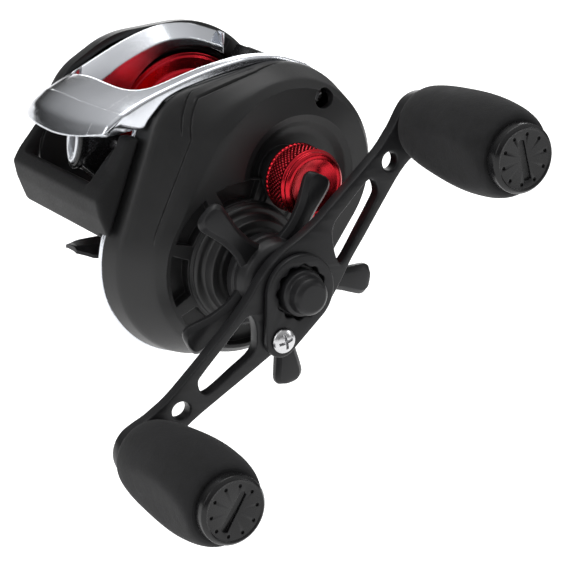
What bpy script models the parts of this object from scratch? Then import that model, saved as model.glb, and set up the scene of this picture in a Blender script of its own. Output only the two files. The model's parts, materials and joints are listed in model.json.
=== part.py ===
"""Low-profile baitcasting reel, modelled as the separate pieces it is assembled from.

Metres, +X towards the crank, -Y towards the rod tip, +Z up.
The origin is the middle of the flat strip under the foot, where the rod's seat bears.
Most pieces turn about, or are cut square to, an axis parallel to X, so their outlines are
given as (y, z) points about that axis and their depths as x values.
"""
import math

import bmesh
import bpy
from mathutils import Matrix, Vector

MM = 0.001
WELD = 0.00002
GAP = 0.3 * MM

# Driving dimensions: shaft lines, as (y, z)
SPOOL_AXIS = (5.0 * MM, 23.3 * MM)
DRIVE_AXIS = (-4.3 * MM, 3.0 * MM)
WORM_AXIS = (-20.3 * MM, 16.3 * MM)
GUIDE_ROD_AXIS = (-26.0 * MM, 25.3 * MM)

# Driving dimensions: planes across the body
PALM_RIM = -20.9 * MM
PALM_FACE = -29.4 * MM
PALM_PLATE = (-20.6 * MM, -18.2 * MM)
GEAR_PLATE = (13.4 * MM, 15.6 * MM)
TRIM = (15.9 * MM, 17.1 * MM)
COVER_RIM = 17.4 * MM
COVER_FACE = 29.2 * MM
HOOD_NEAR = 20.3 * MM

# Driving dimensions: the crank
CRANK_ANGLE = math.radians(47.83)
CRANK_REACH = 48.0 * MM
CRANK_OFFSET = 4.5 * MM
ARM_PLANES = (48.0 * MM, 51.0 * MM)
KNOB_CAP_FACE = 84.0 * MM

SPOOL_RADIUS = 18.2 * MM
FRAME_RADIUS = 19.6 * MM
BODY_RADIUS = 24.2 * MM
COVER_WALL = 1.7 * MM

STAR_ARMS = 5
STAR_REACH = 25.1 * MM
STAR_FIRST_ANGLE = math.radians(68.5)

DRIVE_TEETH = 70
PINION_TEETH = 11
IDLER_TEETH = 17
LEVELWIND_TEETH = 28
WORM_TEETH = 15

# Local axes of a piece that lies along X: its own X, Y and Z are the world's Y, Z and X
ALONG_X = Matrix(((0, 0, 1, 0), (1, 0, 0, 0), (0, 1, 0, 0), (0, 0, 0, 1)))
# The same for a piece cut square to Y: its own X, Y and Z are the world's -X, Z and Y
ALONG_Y = Matrix(((-1, 0, 0, 0), (0, 0, 1, 0), (0, 1, 0, 0), (0, 0, 0, 1)))


def clear_scene():
    for item in list(bpy.data.objects):
        bpy.data.objects.remove(item, do_unlink=True)


def new_collection(name):
    collection = bpy.data.collections.new(name)
    bpy.context.scene.collection.children.link(collection)
    return collection


def new_material(name, colour, roughness, metallic):
    material = bpy.data.materials.new(name)
    material.use_nodes = True
    shader = material.node_tree.nodes["Principled BSDF"]
    shader.inputs["Base Color"].default_value = (*colour, 1.0)
    shader.inputs["Roughness"].default_value = roughness
    shader.inputs["Metallic"].default_value = metallic
    return material


clear_scene()
PARTS = new_collection("baitcasting_reel")
CUTTERS = new_collection("cutters")

GRAPHITE = new_material("graphite", (0.022, 0.022, 0.024), 0.45, 0.0)
BLACK_METAL = new_material("black_metal", (0.03, 0.03, 0.033), 0.38, 0.9)
SATIN_CHROME = new_material("satin_chrome", (0.78, 0.79, 0.81), 0.2, 1.0)
RED_METAL = new_material("red_metal", (0.5, 0.02, 0.03), 0.28, 1.0)
STEEL = new_material("steel", (0.62, 0.62, 0.63), 0.25, 1.0)
BRASS = new_material("brass", (0.72, 0.5, 0.2), 0.3, 1.0)
FOAM = new_material("foam", (0.018, 0.018, 0.02), 0.9, 0.0)
BLACK_PLASTIC = new_material("black_plastic", (0.02, 0.02, 0.022), 0.35, 0.0)
CARBON = new_material("carbon", (0.04, 0.04, 0.045), 0.6, 0.0)
CERAMIC = new_material("ceramic", (0.75, 0.76, 0.78), 0.12, 0.6)


# ---------------------------------------------------------------- shape helpers


def add_object(name, data, axis, material):
    """Put mesh or curve data on an axis parallel to X that passes through (y, z)."""
    part = bpy.data.objects.new(name, data)
    PARTS.objects.link(part)
    part.matrix_world = Matrix.Translation((0, axis[0], axis[1])) @ ALONG_X
    part.data.materials.append(material)
    return part


def finish_mesh(part, angle=math.radians(35)):
    part.data.shade_smooth()
    part.data.set_sharp_from_angle(angle=angle)


def mesh_part(name, bm, axis, material):
    """Turn a bmesh into an object, welded and with its faces pointing out."""
    bmesh.ops.remove_doubles(bm, verts=bm.verts, dist=WELD)
    bmesh.ops.recalc_face_normals(bm, faces=bm.faces)
    mesh = bpy.data.meshes.new(name)
    bm.to_mesh(mesh)
    bm.free()
    part = add_object(name, mesh, axis, material)
    finish_mesh(part)
    return part


def lathe(name, axis, profile, material, steps=20, ring=False):
    """Turn (x, radius) points about the axis; the outer side runs from high x to low x."""
    mesh = bpy.data.meshes.new(name)
    points = [(radius, 0, x) for x, radius in profile]
    edges = [(i, i + 1) for i in range(len(points) - 1)]
    if ring:
        edges.append((len(points) - 1, 0))
    mesh.from_pydata(points, edges, [])
    part = add_object(name, mesh, axis, material)
    screw = part.modifiers.new("turn", 'SCREW')
    screw.axis = 'Z'
    screw.steps = steps
    screw.render_steps = steps
    screw.use_merge_vertices = True
    screw.merge_threshold = WELD
    return part


def tube(name, axis, x_range, radii, material, steps=20):
    """A plain ring between two radii."""
    low, high = x_range
    inner, outer = radii
    profile = [(high, outer), (low, outer), (low, inner), (high, inner)]
    return lathe(name, axis, profile, material, steps, ring=True)


def rod(name, axis, x_range, radius, material, steps=20):
    low, high = x_range
    return lathe(name, axis, [(high, 0), (high, radius), (low, radius), (low, 0)], material, steps)


def plate(name, axis, outline, x_range, material, holes=()):
    """Extrude a flat outline of (y, z) points, with any holes, between two x planes."""
    low, high = x_range
    curve = bpy.data.curves.new(name, 'CURVE')
    curve.dimensions = '2D'
    curve.fill_mode = 'BOTH'
    curve.extrude = (high - low) / 2
    for loop in (outline, *holes):
        spline = curve.splines.new('POLY')
        spline.points.add(len(loop) - 1)
        for point, (y, z) in zip(spline.points, loop):
            point.co = (y, z, 0, 1)
        spline.use_cyclic_u = True
    guide = bpy.data.objects.new(name, curve)
    PARTS.objects.link(guide)
    graph = bpy.context.evaluated_depsgraph_get()
    mesh = bpy.data.meshes.new_from_object(guide.evaluated_get(graph))
    bpy.data.objects.remove(guide, do_unlink=True)
    bm = bmesh.new()
    bm.from_mesh(mesh)
    bmesh.ops.translate(bm, verts=bm.verts, vec=(0, 0, (low + high) / 2))
    return mesh_part(name, bm, axis, material)


def loft(name, axis, sections, material):
    """Skin matching (x, outline) sections and close both ends."""
    bm = bmesh.new()
    rings = [[bm.verts.new((y, z, x)) for y, z in outline] for x, outline in sections]
    count = len(rings[0])
    for lower, upper in zip(rings, rings[1:]):
        for i in range(count):
            j = (i + 1) % count
            bm.faces.new((lower[i], lower[j], upper[j], upper[i]))
    bm.faces.new(rings[0][::-1])
    bm.faces.new(rings[-1])
    return mesh_part(name, bm, axis, material)


def combine(part, other, operation):
    """Boolean another object into a part; the other becomes a hidden guide."""
    PARTS.objects.unlink(other)
    CUTTERS.objects.link(other)
    other.hide_render = True
    other.display_type = 'WIRE'
    change = part.modifiers.new(other.name, 'BOOLEAN')
    change.operation = operation
    change.object = other
    change.solver = 'EXACT'
    return part


def cut(part, *cutters):
    for cutter in cutters:
        combine(part, cutter, 'DIFFERENCE')
    return part


def join(part, *others):
    for other in others:
        combine(part, other, 'UNION')
    return part


# -------------------------------------------------------------- outline helpers


def circle(radius, count=32, centre=(0, 0), start=0.0, sweep=2 * math.pi):
    """Points on a circle, or on an arc with both of its ends."""
    steps = count if sweep >= 2 * math.pi else count - 1
    angles = [start + sweep * i / steps for i in range(count)]
    return [(centre[0] + radius * math.cos(a), centre[1] + radius * math.sin(a)) for a in angles]


def around(circles, count=40):
    """The outline of a band stretched round several (y, z, radius) circles."""
    points = []
    for i in range(count):
        angle = 2 * math.pi * (i + 0.5) / count
        normal = Vector((math.cos(angle), math.sin(angle)))
        y, z, radius = max(circles, key=lambda c: c[0] * normal.x + c[1] * normal.y + c[2])
        points.append((y + radius * normal.x, z + radius * normal.y))
    return points


def shrunk(circles, amount):
    return [(y, z, radius - amount) for y, z, radius in circles]


def grown(outline, amount):
    """Move each edge of a counter-clockwise outline outwards by about the amount."""
    moved = []
    for before, point, after in zip(outline[-1:] + outline[:-1], outline, outline[1:] + outline[:1]):
        first = (Vector(point) - Vector(before)).normalized()
        second = (Vector(after) - Vector(point)).normalized()
        normal = Vector((first.y + second.y, -first.x - second.x)).normalized()
        stretch = 1 / max(0.5, normal.dot(Vector((first.y, -first.x))))
        moved.append((point[0] + normal.x * amount * stretch, point[1] + normal.y * amount * stretch))
    return moved


def turned(outline, angle):
    c, s = math.cos(angle), math.sin(angle)
    return [(c * y - s * z, s * y + c * z) for y, z in outline]


def gear_outline(teeth, pitch_radius, phase=0.0):
    """Straight-sided teeth; a tooth is centred on the phase angle."""
    module = 2 * pitch_radius / teeth
    tip = pitch_radius + 0.8 * module
    root = pitch_radius - 1.15 * module
    tooth = 2 * math.pi / teeth
    outline = []
    for i in range(teeth):
        centre = phase + i * tooth
        for offset, radius in ((-0.30, root), (-0.10, tip), (0.10, tip), (0.30, root)):
            angle = centre + offset * tooth
            outline.append((radius * math.cos(angle), radius * math.sin(angle)))
    return outline


def millimetres(*points):
    return [tuple(value * MM for value in point) for point in points]


def direction(start, end):
    return math.atan2(end[1] - start[1], end[0] - start[0])


def distance(start, end):
    return math.hypot(end[0] - start[0], end[1] - start[1])


# ------------------------------------------------------------------------ frame

ORIGIN = (0.0, 0.0)

# Circles, as (y, z, radius), whose stretched bands give the outlines of the plates and covers
PLATE_CIRCLES = millimetres((5.0, 23.3, 19.6), (-22.0, 19.3, 10.0), (-7.0, 12.6, 14.0))
GEAR_PLATE_CIRCLES = PLATE_CIRCLES + millimetres((-4.3, 3.0, 12.0))
TRIM_HOLE_CIRCLES = millimetres((5.0, 23.3, 18.0), (-4.3, 3.0, 10.5), (-21.0, 18.5, 8.0))
RIM_CIRCLES = millimetres((5.0, 23.3, 24.2), (-14.5, 29.5, 13.4), (-10.5, 3.0, 23.5), (-4.3, 3.0, 22.8))
SHOULDER_CIRCLES = millimetres((5.3, 23.3, 23.9), (-13.6, 29.2, 12.8), (-9.5, 3.0, 23.0), (-4.3, 3.0, 22.6))
FACE_CIRCLES = millimetres((6.5, 23.0, 21.6), (-6.8, 26.4, 11.4), (-5.6, 3.2, 21.0), (-4.3, 3.0, 21.2))
CREST_CIRCLES = millimetres((6.8, 22.8, 20.0), (-5.0, 25.0, 10.0), (-4.8, 3.2, 19.6), (-4.3, 3.0, 19.8))
PALM_CIRCLES = millimetres((5.0, 23.3, 25.0), (-6.0, 25.4, 21.2), (-13.0, 27.0, 15.8), (-15.0, 20.0, 14.0))

COVER_SCREW_AXIS = (13.0 * MM, 40.2 * MM)
DECK_Z = (3.2 * MM, 4.7 * MM)
DECK_Y = (-22.0 * MM, 19.0 * MM)
FOOT_SCREW_Y = {"foot_screw_front": -15.0 * MM, "foot_screw_rear": 15.0 * MM}
FOOT_SCREW_HOLE = 1.5 * MM


def upright(name, centre, z_range, radii, material, steps=14):
    """A turned piece on a vertical axis; radii are those at its two ends, top first."""
    bm = bmesh.new()
    low, high = z_range
    bmesh.ops.create_cone(bm, cap_ends=True, segments=steps, radius1=radii[1], radius2=radii[0],
                          depth=high - low)
    part = mesh_part(name, bm, ORIGIN, material)
    part.matrix_world = Matrix.Translation((centre[0], centre[1], (low + high) / 2))
    return part


def upright_plate(name, outline, z_range, material):
    """Extrude a flat outline of (x, y) points between two heights."""
    part = plate(name, ORIGIN, outline, z_range, material)
    part.matrix_world = Matrix.Identity(4)
    return part


def main_frame():
    palm_bore = circle(SPOOL_RADIUS + 0.4 * MM, 36, SPOOL_AXIS)
    palm_bush = circle(3.2 * MM, 16, WORM_AXIS)
    part = plate("main_frame", ORIGIN, around(PLATE_CIRCLES), PALM_PLATE, GRAPHITE,
                 holes=[palm_bore, palm_bush, circle(1.5 * MM, 12, GUIDE_ROD_AXIS)])
    gear_holes = [
        circle(5.5 * MM, 24, SPOOL_AXIS),
        circle(3.3 * MM, 20, DRIVE_AXIS),
        circle(3.2 * MM, 16, WORM_AXIS),
        circle(1.5 * MM, 12, GUIDE_ROD_AXIS),
    ]
    gear_side = plate("frame_gear_plate", ORIGIN, around(GEAR_PLATE_CIRCLES), GEAR_PLATE, GRAPHITE,
                      holes=gear_holes)
    deck = plate("frame_deck", ORIGIN, [
        (DECK_Y[0], DECK_Z[0]), (DECK_Y[1], DECK_Z[0]),
        (DECK_Y[1], DECK_Z[1]), (DECK_Y[0] + 2 * MM, DECK_Z[1]),
    ], (PALM_PLATE[0] + GAP, GEAR_PLATE[0] + 0.5 * MM), GRAPHITE)
    front_bar = plate("frame_front_bar", ORIGIN, millimetres(
        (-29.4, 12.2), (-24.5, 9.9), (-24.5, 13.6), (-28.6, 14.8),
    ), (PALM_PLATE[0] + GAP, GEAR_PLATE[1] - GAP), GRAPHITE)
    join(part, gear_side, deck, front_bar)
    for name, y in FOOT_SCREW_Y.items():
        cut(part, upright(name + "_deck_hole", (0.0, y), (2.5 * MM, 4.3 * MM),
                          (FOOT_SCREW_HOLE, FOOT_SCREW_HOLE), STEEL))
    return part


def nose_guard():
    """The lower lip that bridges the nose, with a cheek each side; the near one meets the gear cover."""
    lip = millimetres((-29.5, 6.4), (-33.8, 6.9), (-36.9, 12.6), (-38.2, 16.4), (-37.0, 18.9),
                      (-34.2, 18.4), (-33.6, 15.2), (-31.6, 10.4))
    cheek = millimetres((-33.8, 6.9), (-36.9, 12.6), (-38.2, 16.4), (-37.0, 19.2), (-33.0, 25.0),
                        (-30.6, 27.9), (-27.9, 28.0), (-32.0, 22.0), (-32.2, 17.0), (-31.6, 10.4),
                        (-30.5, 7.4))
    part = plate("nose_guard", ORIGIN, lip, (PALM_PLATE[0] + GAP, GEAR_PLATE[1]), GRAPHITE)
    far_cheek = plate("far_cheek", ORIGIN, cheek, PALM_PLATE, GRAPHITE)
    near_cheek = plate("near_cheek", ORIGIN, cheek, (GEAR_PLATE[0], GEAR_PLATE[1] + 0.8 * MM), GRAPHITE)
    outer_cheek = plate("outer_cheek", ORIGIN, millimetres(
        (-33.8, 6.9), (-36.9, 12.6), (-38.2, 16.4), (-37.0, 19.2), (-34.6, 22.5), (-32.6, 27.4),
        (-31.4, 30.6), (-24.0, 30.6), (-20.0, 20.0), (-20.0, 8.0),
    ), (GEAR_PLATE[1] + GAP, HOOD_NEAR), GRAPHITE)
    cover_room = plate("nose_cover_room", ORIGIN, grown(around(RIM_CIRCLES), 2 * GAP),
                       (TRIM[0] - GAP, HOOD_NEAR + 1.0 * MM), GRAPHITE)
    join(part, far_cheek, near_cheek, outer_cheek)
    clearance = plate("nose_clearance", ORIGIN, grown(around(PLATE_CIRCLES), GAP),
                      (PALM_PLATE[0] - 1.0 * MM, GEAR_PLATE[1] + 1.0 * MM), GRAPHITE)
    cut(part, clearance, cover_room)
    return part


def reel_foot():
    """A plate that thins towards both tips, wrapped a little round the rod below its flat strip."""
    half_length = 32.4 * MM
    sections = []
    count = 13
    for i in range(count):
        y = half_length * (2 * i / (count - 1) - 1)
        along = abs(y) / half_length
        half_width = (6.9 - 2.2 * along ** 2) * MM * (1 - 0.45 * max(0.0, along - 0.9) / 0.1)
        edge_drop = 1.5 * MM * (half_width / (6.9 * MM)) ** 2
        top = (1.1 + 1.8 * max(0.0, 1 - along ** 3)) * MM
        flat = 2.6 * MM * min(1.0, half_width / (4.7 * MM))
        sections.append((y, [
            (-half_width, -edge_drop), (-flat, 0.0), (flat, 0.0), (half_width, -edge_drop),
            (half_width, 0.8 * MM - edge_drop), (flat, top),
            (-flat, top), (-half_width, 0.8 * MM - edge_drop),
        ]))
    part = loft("reel_foot", ORIGIN, sections, BLACK_METAL)
    part.matrix_world = ALONG_Y
    for name, y in FOOT_SCREW_Y.items():
        cut(part, upright(name + "_foot_hole", (0.0, y), (-1.0 * MM, 4.0 * MM),
                          (FOOT_SCREW_HOLE, FOOT_SCREW_HOLE), STEEL),
            upright(name + "_head_pocket", (0.0, y), (-1.0 * MM, 1.0 * MM), (2.5 * MM, 2.5 * MM), STEEL))
    return part


def foot_screws():
    for name, y in FOOT_SCREW_Y.items():
        head = upright(name, (0.0, y), (0.1 * MM, 0.8 * MM), (2.2 * MM, 2.2 * MM), STEEL)
        shank = upright(name + "_shank", (0.0, y), (0.6 * MM, 4.0 * MM), (1.2 * MM, 1.2 * MM), STEEL)
        join(head, shank)


# Side view of the hood's middle: its top line from the lip to the back, then the line under its rails
HOOD_TOP = millimetres((-41.7, 28.7), (-40.4, 32.6), (-37.0, 36.3), (-31.5, 39.3), (-25.0, 41.9),
                       (-15.0, 45.2), (-6.0, 47.4), (0.0, 48.2), (6.0, 48.1), (13.5, 46.2))
RAIL_UNDER = millimetres((13.0, 44.4), (6.0, 45.6), (0.0, 45.7), (-6.0, 44.9), (-16.5, 42.4), (-24.3, 39.6),
                         (-26.5, 37.9), (-29.1, 34.6), (-31.3, 31.4), (-37.5, 32.2))
HOOD_MIDDLE = 2.0 * MM
HOOD_HALF_WIDTH = 22.5 * MM
HOOD_LENGTH = 41.0 * MM
HOOD_BASE = 28.0 * MM
NEAR_RAIL_WIDTH = 3.1 * MM
WINDOW_FRONT = -30.0 * MM
WINDOW_CURVE = 10.0 * MM
HOOD_LIFT = 4.6 * MM
HOOD_LIFT_HEIGHT = 9.0 * MM


def hood_section(x, outline):
    """The side view at x: towards each side the lip falls back, the top sinks and the edge lifts."""
    aside = (x - HOOD_MIDDLE) / HOOD_HALF_WIDTH
    sink = 0.6 * aside ** 2 if aside < 0 else 0.12 * aside ** 2
    section = []
    for y, z in outline:
        forward = max(0.0, -y / HOOD_LENGTH)
        back = 6.5 * MM * abs(aside) ** 2.2 * forward
        low = max(0.0, 1 - (z - HOOD_BASE) / HOOD_LIFT_HEIGHT)
        lift = HOOD_LIFT * max(0.0, aside) ** 2 * forward ** 2 * low
        section.append((y + back, HOOD_BASE + (z - HOOD_BASE) * (1 - sink * forward ** 2) + lift))
    return section[::-1]


def hood_loft(name, stations, outline, extra=0.0):
    return loft(name, ORIGIN, [(x, grown(hood_section(x, outline), extra)) for x in stations], SATIN_CHROME)


def rail_notch(name, low):
    """Room for the hood's near rail in the pieces beside it."""
    return hood_loft(name, (low, GEAR_PLATE[1], HOOD_NEAR + GAP), HOOD_TOP + RAIL_UNDER, GAP)


def hood():
    """Silver visor over the line guide, with a rail down each side of the line window."""
    under = circle(FRAME_RADIUS + GAP, 9, SPOOL_AXIS, math.radians(64), math.radians(90))
    front_under = millimetres((-21.0, 31.4), (-29.5, 30.6), (-36.0, 28.6))
    stations = [PALM_PLATE[0], -17.2 * MM, -14.0 * MM, -8.0 * MM, HOOD_MIDDLE, 9.0 * MM, GEAR_PLATE[1]]
    part = hood_loft("hood", stations, HOOD_TOP + under + front_under)
    rail = hood_loft("hood_rail", (GEAR_PLATE[1] - 1.0 * MM, 18.0 * MM, HOOD_NEAR), HOOD_TOP + RAIL_UNDER)
    join(part, rail)
    inner = (-16.0 * MM, 12.6 * MM)
    cut(part, visor_hollow(inner), window_cutter(inner))
    for low, high in (PALM_PLATE, GEAR_PLATE):
        cut(part, plate("hood_plate_clearance", ORIGIN, grown(around(PLATE_CIRCLES), GAP),
                        (low - GAP, high + GAP), SATIN_CHROME))
    return part


def visor_hollow(inner):
    """The space under the visor where the line guide's eye runs, one wall thickness inside it."""
    outline = millimetres((-38.9, 20.0), (-38.9, 30.4), (-37.8, 33.2), (-35.6, 35.0), (-30.6, 37.6),
                          (-24.0, 40.0), (-10.0, 30.0), (-10.0, 20.0))
    return hood_loft("visor_hollow", (inner[0], -8.0 * MM, HOOD_MIDDLE, inner[1]), outline)


def squared(value):
    """Turns a circle's coordinate into that of a rounded square."""
    return math.copysign(abs(value) ** 0.6, value)


def window_cutter(inner):
    """The line window: straight sides and a rounded front, cut down through the hood."""
    near = HOOD_NEAR - NEAR_RAIL_WIDTH
    middle = (inner[0] + near) / 2
    half_width = (near - inner[0]) / 2
    front = []
    for x, y in circle(1.0, 15, (0, 0), math.pi, math.pi):
        front.append((middle + half_width * squared(x), WINDOW_FRONT + WINDOW_CURVE * (1 + squared(y))))
    outline = front + [(near, 25.0 * MM), (inner[0], 25.0 * MM)]
    return upright_plate("line_window", outline, (25.0 * MM, 55.0 * MM), SATIN_CHROME)


def gear_case_trim():
    outer = around([(y, z, radius + 0.3 * MM) for y, z, radius in RIM_CIRCLES])
    part = plate("gear_case_trim", ORIGIN, outer, TRIM, SATIN_CHROME, holes=[around(TRIM_HOLE_CIRCLES)])
    return cut(part, rail_notch("trim_hood_notch", 14.0 * MM))


# ----------------------------------------------------------------------- covers

CAST_WELL = (8.2 * MM, 22.2 * MM)
HOUSING_END = 34.2 * MM
BEARING_SEAT = (27.6 * MM, 33.0 * MM)


def cover_sections(shrink, planes):
    circle_sets = (RIM_CIRCLES, SHOULDER_CIRCLES, FACE_CIRCLES, CREST_CIRCLES)
    return [(x, around(shrunk(circles, shrink))) for x, circles in zip(planes, circle_sets)]


def handle_side_cover():
    """Hollow cover over the gears, with the drum for the star and the well for the cast control."""
    planes = (COVER_RIM, 21.5 * MM, 27.6 * MM, COVER_FACE)
    inner_planes = (COVER_RIM - 1.0 * MM, 21.2 * MM, 26.4 * MM, COVER_FACE - COVER_WALL)
    part = loft("handle_side_cover", ORIGIN, cover_sections(0.0, planes), GRAPHITE)
    cavity = loft("cover_cavity", ORIGIN, cover_sections(COVER_WALL, inner_planes), GRAPHITE)
    cut(part, cavity)
    cup = lathe("cast_control_cup", CAST_WELL, [
        (28.7 * MM, 0), (28.7 * MM, 16.6 * MM), (25.2 * MM, 12.6 * MM), (25.2 * MM, 0),
    ], GRAPHITE, 28)
    well = lathe("cast_control_well", CAST_WELL, [
        (31.0 * MM, 0), (31.0 * MM, 15.5 * MM), (COVER_FACE, 14.6 * MM),
        (27.3 * MM, 11.2 * MM), (26.9 * MM, 0),
    ], GRAPHITE, 28)
    join(part, cup)
    cut(part, well)
    cut(part, rod("drum_opening", DRIVE_AXIS, (20.0 * MM, 40.0 * MM), 9.0 * MM, STEEL, 24),
        rod("sleeve_opening", SPOOL_AXIS, (20.0 * MM, 40.0 * MM), 5.65 * MM, STEEL, 20))
    drum = lathe("cover_drum", DRIVE_AXIS, [
        (HOUSING_END, 11.4 * MM), (31.6 * MM, 11.8 * MM), (31.2 * MM, 13.6 * MM), (28.4 * MM, 14.0 * MM),
        (26.0 * MM, 14.0 * MM), (26.0 * MM, 7.1 * MM), (BEARING_SEAT[1] + 0.2 * MM, 7.1 * MM),
        (BEARING_SEAT[1] + 0.2 * MM, 4.7 * MM), (HOUSING_END, 4.7 * MM),
    ], GRAPHITE, 28, ring=True)
    sleeve = lathe("cast_control_sleeve", SPOOL_AXIS, [
        (36.6 * MM, 6.1 * MM), (24.4 * MM, 6.1 * MM), (24.4 * MM, 5.2 * MM), (33.4 * MM, 5.2 * MM),
        (33.4 * MM, 3.2 * MM), (36.6 * MM, 3.2 * MM),
    ], GRAPHITE, 20, ring=True)
    join(part, drum, sleeve)
    cut(part, rail_notch("cover_hood_notch", 14.0 * MM))
    pocket = (COVER_FACE - 6.0 * MM, 34.0 * MM)
    cut(part, rod("cover_screw_pocket", COVER_SCREW_AXIS, pocket, 2.4 * MM, STEEL, 16),
        rod("cover_screw_hole", COVER_SCREW_AXIS, (15.0 * MM, 30.0 * MM), 1.3 * MM, STEEL, 12))
    join(part, tube("cover_screw_socket", COVER_SCREW_AXIS, (20.2 * MM, 24.2 * MM),
                    (1.3 * MM, 3.3 * MM), GRAPHITE, 16))
    return part


def palm_side_cover():
    """Domed cover that carries the palm-side spool bearing and the brake dial."""
    depths = (0.0, 0.45, 0.8, 1.0)
    insets = (0.0, 0.9, 3.6, 7.6)
    planes = [PALM_RIM + (PALM_FACE - PALM_RIM) * depth for depth in depths]
    outer = [(x, around(shrunk(PALM_CIRCLES, inset * MM))) for x, inset in zip(planes, insets)]
    inner_planes = [PALM_RIM + 1.0 * MM, planes[1] + 0.3 * MM, planes[2] + 1.0 * MM, PALM_FACE + COVER_WALL]
    inner = [(x, around(shrunk(PALM_CIRCLES, inset * MM + COVER_WALL)))
             for x, inset in zip(inner_planes, (0.0, 0.9, 3.9, 8.4))]
    part = loft("palm_side_cover", ORIGIN, outer[::-1], GRAPHITE)
    cavity = loft("palm_cavity", ORIGIN, inner[::-1], GRAPHITE)
    boss = rod("palm_bearing_boss", SPOOL_AXIS, (-28.5 * MM, -22.9 * MM), 6.6 * MM, GRAPHITE, 28)
    bore = rod("palm_bearing_bore", SPOOL_AXIS, (-26.7 * MM, -22.0 * MM), 5.2 * MM, STEEL, 24)
    dial_well = rod("brake_dial_well", SPOOL_AXIS, (-32.0 * MM, -28.4 * MM), 9.4 * MM, STEEL, 32)
    cut(part, cavity)
    join(part, boss)
    cut(part, bore, dial_well)
    return part


def thumb_rest():
    """Curved back wall between the covers, open in the middle for the thumb bar."""
    start, end = math.radians(-42), math.radians(62)
    outer = circle(BODY_RADIUS - 0.2 * MM, 22, SPOOL_AXIS, start, end - start)
    inner = circle(FRAME_RADIUS + 0.5 * MM, 22, SPOOL_AXIS, start, end - start)
    part = plate("thumb_rest", ORIGIN, outer + inner[::-1], (PALM_PLATE[0], GEAR_PLATE[1]), GRAPHITE)
    opening_start = math.radians(27)
    opening = circle(BODY_RADIUS + 3 * MM, 12, SPOOL_AXIS, opening_start, math.radians(50))
    opening_inner = circle(FRAME_RADIUS - 1 * MM, 12, SPOOL_AXIS, opening_start, math.radians(50))
    cut(part, plate("thumb_bar_opening", ORIGIN, opening + opening_inner[::-1],
                    (-17.4 * MM, 12.4 * MM), GRAPHITE))
    return part


THUMB_BAR_ANGLE = math.radians(50)


def thumb_bar():
    """The bar a thumb presses down to free the spool."""
    sweep = math.radians(21)
    start = THUMB_BAR_ANGLE - sweep / 2
    outer = circle(23.6 * MM, 9, SPOOL_AXIS, start, sweep)
    inner = circle(17.4 * MM, 9, SPOOL_AXIS, start, sweep)
    part = plate("thumb_bar", ORIGIN, outer + inner[::-1], (-15.4 * MM, 10.4 * MM), GRAPHITE)
    edge = part.modifiers.new("rounded_edges", 'BEVEL')
    edge.width = 0.7 * MM
    edge.segments = 2
    edge.limit_method = 'ANGLE'
    edge.angle_limit = math.radians(40)
    return part


def cover_screw():
    lathe("cover_screw", COVER_SCREW_AXIS, [
        (26.0 * MM, 0), (25.8 * MM, 1.2 * MM), (25.2 * MM, 2.1 * MM), (24.5 * MM, 2.1 * MM),
        (24.5 * MM, 1.0 * MM), (17.6 * MM, 1.0 * MM), (17.6 * MM, 0),
    ], STEEL, 16)


# ------------------------------------------------------------ spool and bearings


def spool():
    """Thin-walled spool, hollowed from both sides, with stepped flanges."""
    part = lathe("spool", SPOOL_AXIS, [
        (12.6 * MM, SPOOL_RADIUS), (11.6 * MM, SPOOL_RADIUS), (10.9 * MM, 14.4 * MM), (9.4 * MM, 10.8 * MM),
        (8.0 * MM, 10.0 * MM), (-13.4 * MM, 10.0 * MM), (-14.8 * MM, 10.8 * MM), (-16.3 * MM, 14.4 * MM),
        (-17.0 * MM, SPOOL_RADIUS), (-18.0 * MM, SPOOL_RADIUS), (-18.0 * MM, 17.0 * MM),
        (-17.5 * MM, 14.6 * MM), (-15.6 * MM, 9.2 * MM), (-6.0 * MM, 8.8 * MM), (-5.0 * MM, 2.3 * MM),
        (5.0 * MM, 2.3 * MM), (6.0 * MM, 8.8 * MM), (10.2 * MM, 9.2 * MM), (12.1 * MM, 14.6 * MM),
        (12.6 * MM, 17.0 * MM),
    ], RED_METAL, 32, ring=True)
    return part


def spool_line():
    lathe("spool_shaft", SPOOL_AXIS, [
        (37.6 * MM, 0), (37.6 * MM, 1.5 * MM), (28.6 * MM, 1.5 * MM), (28.4 * MM, 2.0 * MM),
        (-22.4 * MM, 2.0 * MM), (-22.6 * MM, 1.5 * MM), (-26.4 * MM, 1.5 * MM), (-26.4 * MM, 0),
    ], STEEL, 20)
    tube("spool_bearing_palm", SPOOL_AXIS, (-26.2 * MM, -23.2 * MM), (1.8 * MM, 5.0 * MM), STEEL)
    tube("spool_bearing_handle", SPOOL_AXIS, (29.4 * MM, 32.4 * MM), (1.8 * MM, 5.0 * MM), STEEL)
    tube("pinion_bearing", SPOOL_AXIS, (13.6 * MM, 15.4 * MM), (3.4 * MM, 5.2 * MM), STEEL)
    lathe("cast_control_cap", SPOOL_AXIS, [
        (38.9 * MM, 0), (39.1 * MM, 2.6 * MM), (40.1 * MM, 5.4 * MM), (40.6 * MM, 6.0 * MM),
        (40.6 * MM, 6.9 * MM), (40.1 * MM, 7.5 * MM), (39.4 * MM, 7.9 * MM), (32.6 * MM, 7.9 * MM),
        (32.0 * MM, 7.5 * MM), (32.0 * MM, 6.5 * MM), (38.3 * MM, 6.5 * MM), (38.3 * MM, 0),
    ], RED_METAL, 24)
    tube("tension_washer", SPOOL_AXIS, (37.65 * MM, 38.05 * MM), (1.4 * MM, 5.6 * MM), BRASS, 20)


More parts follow.
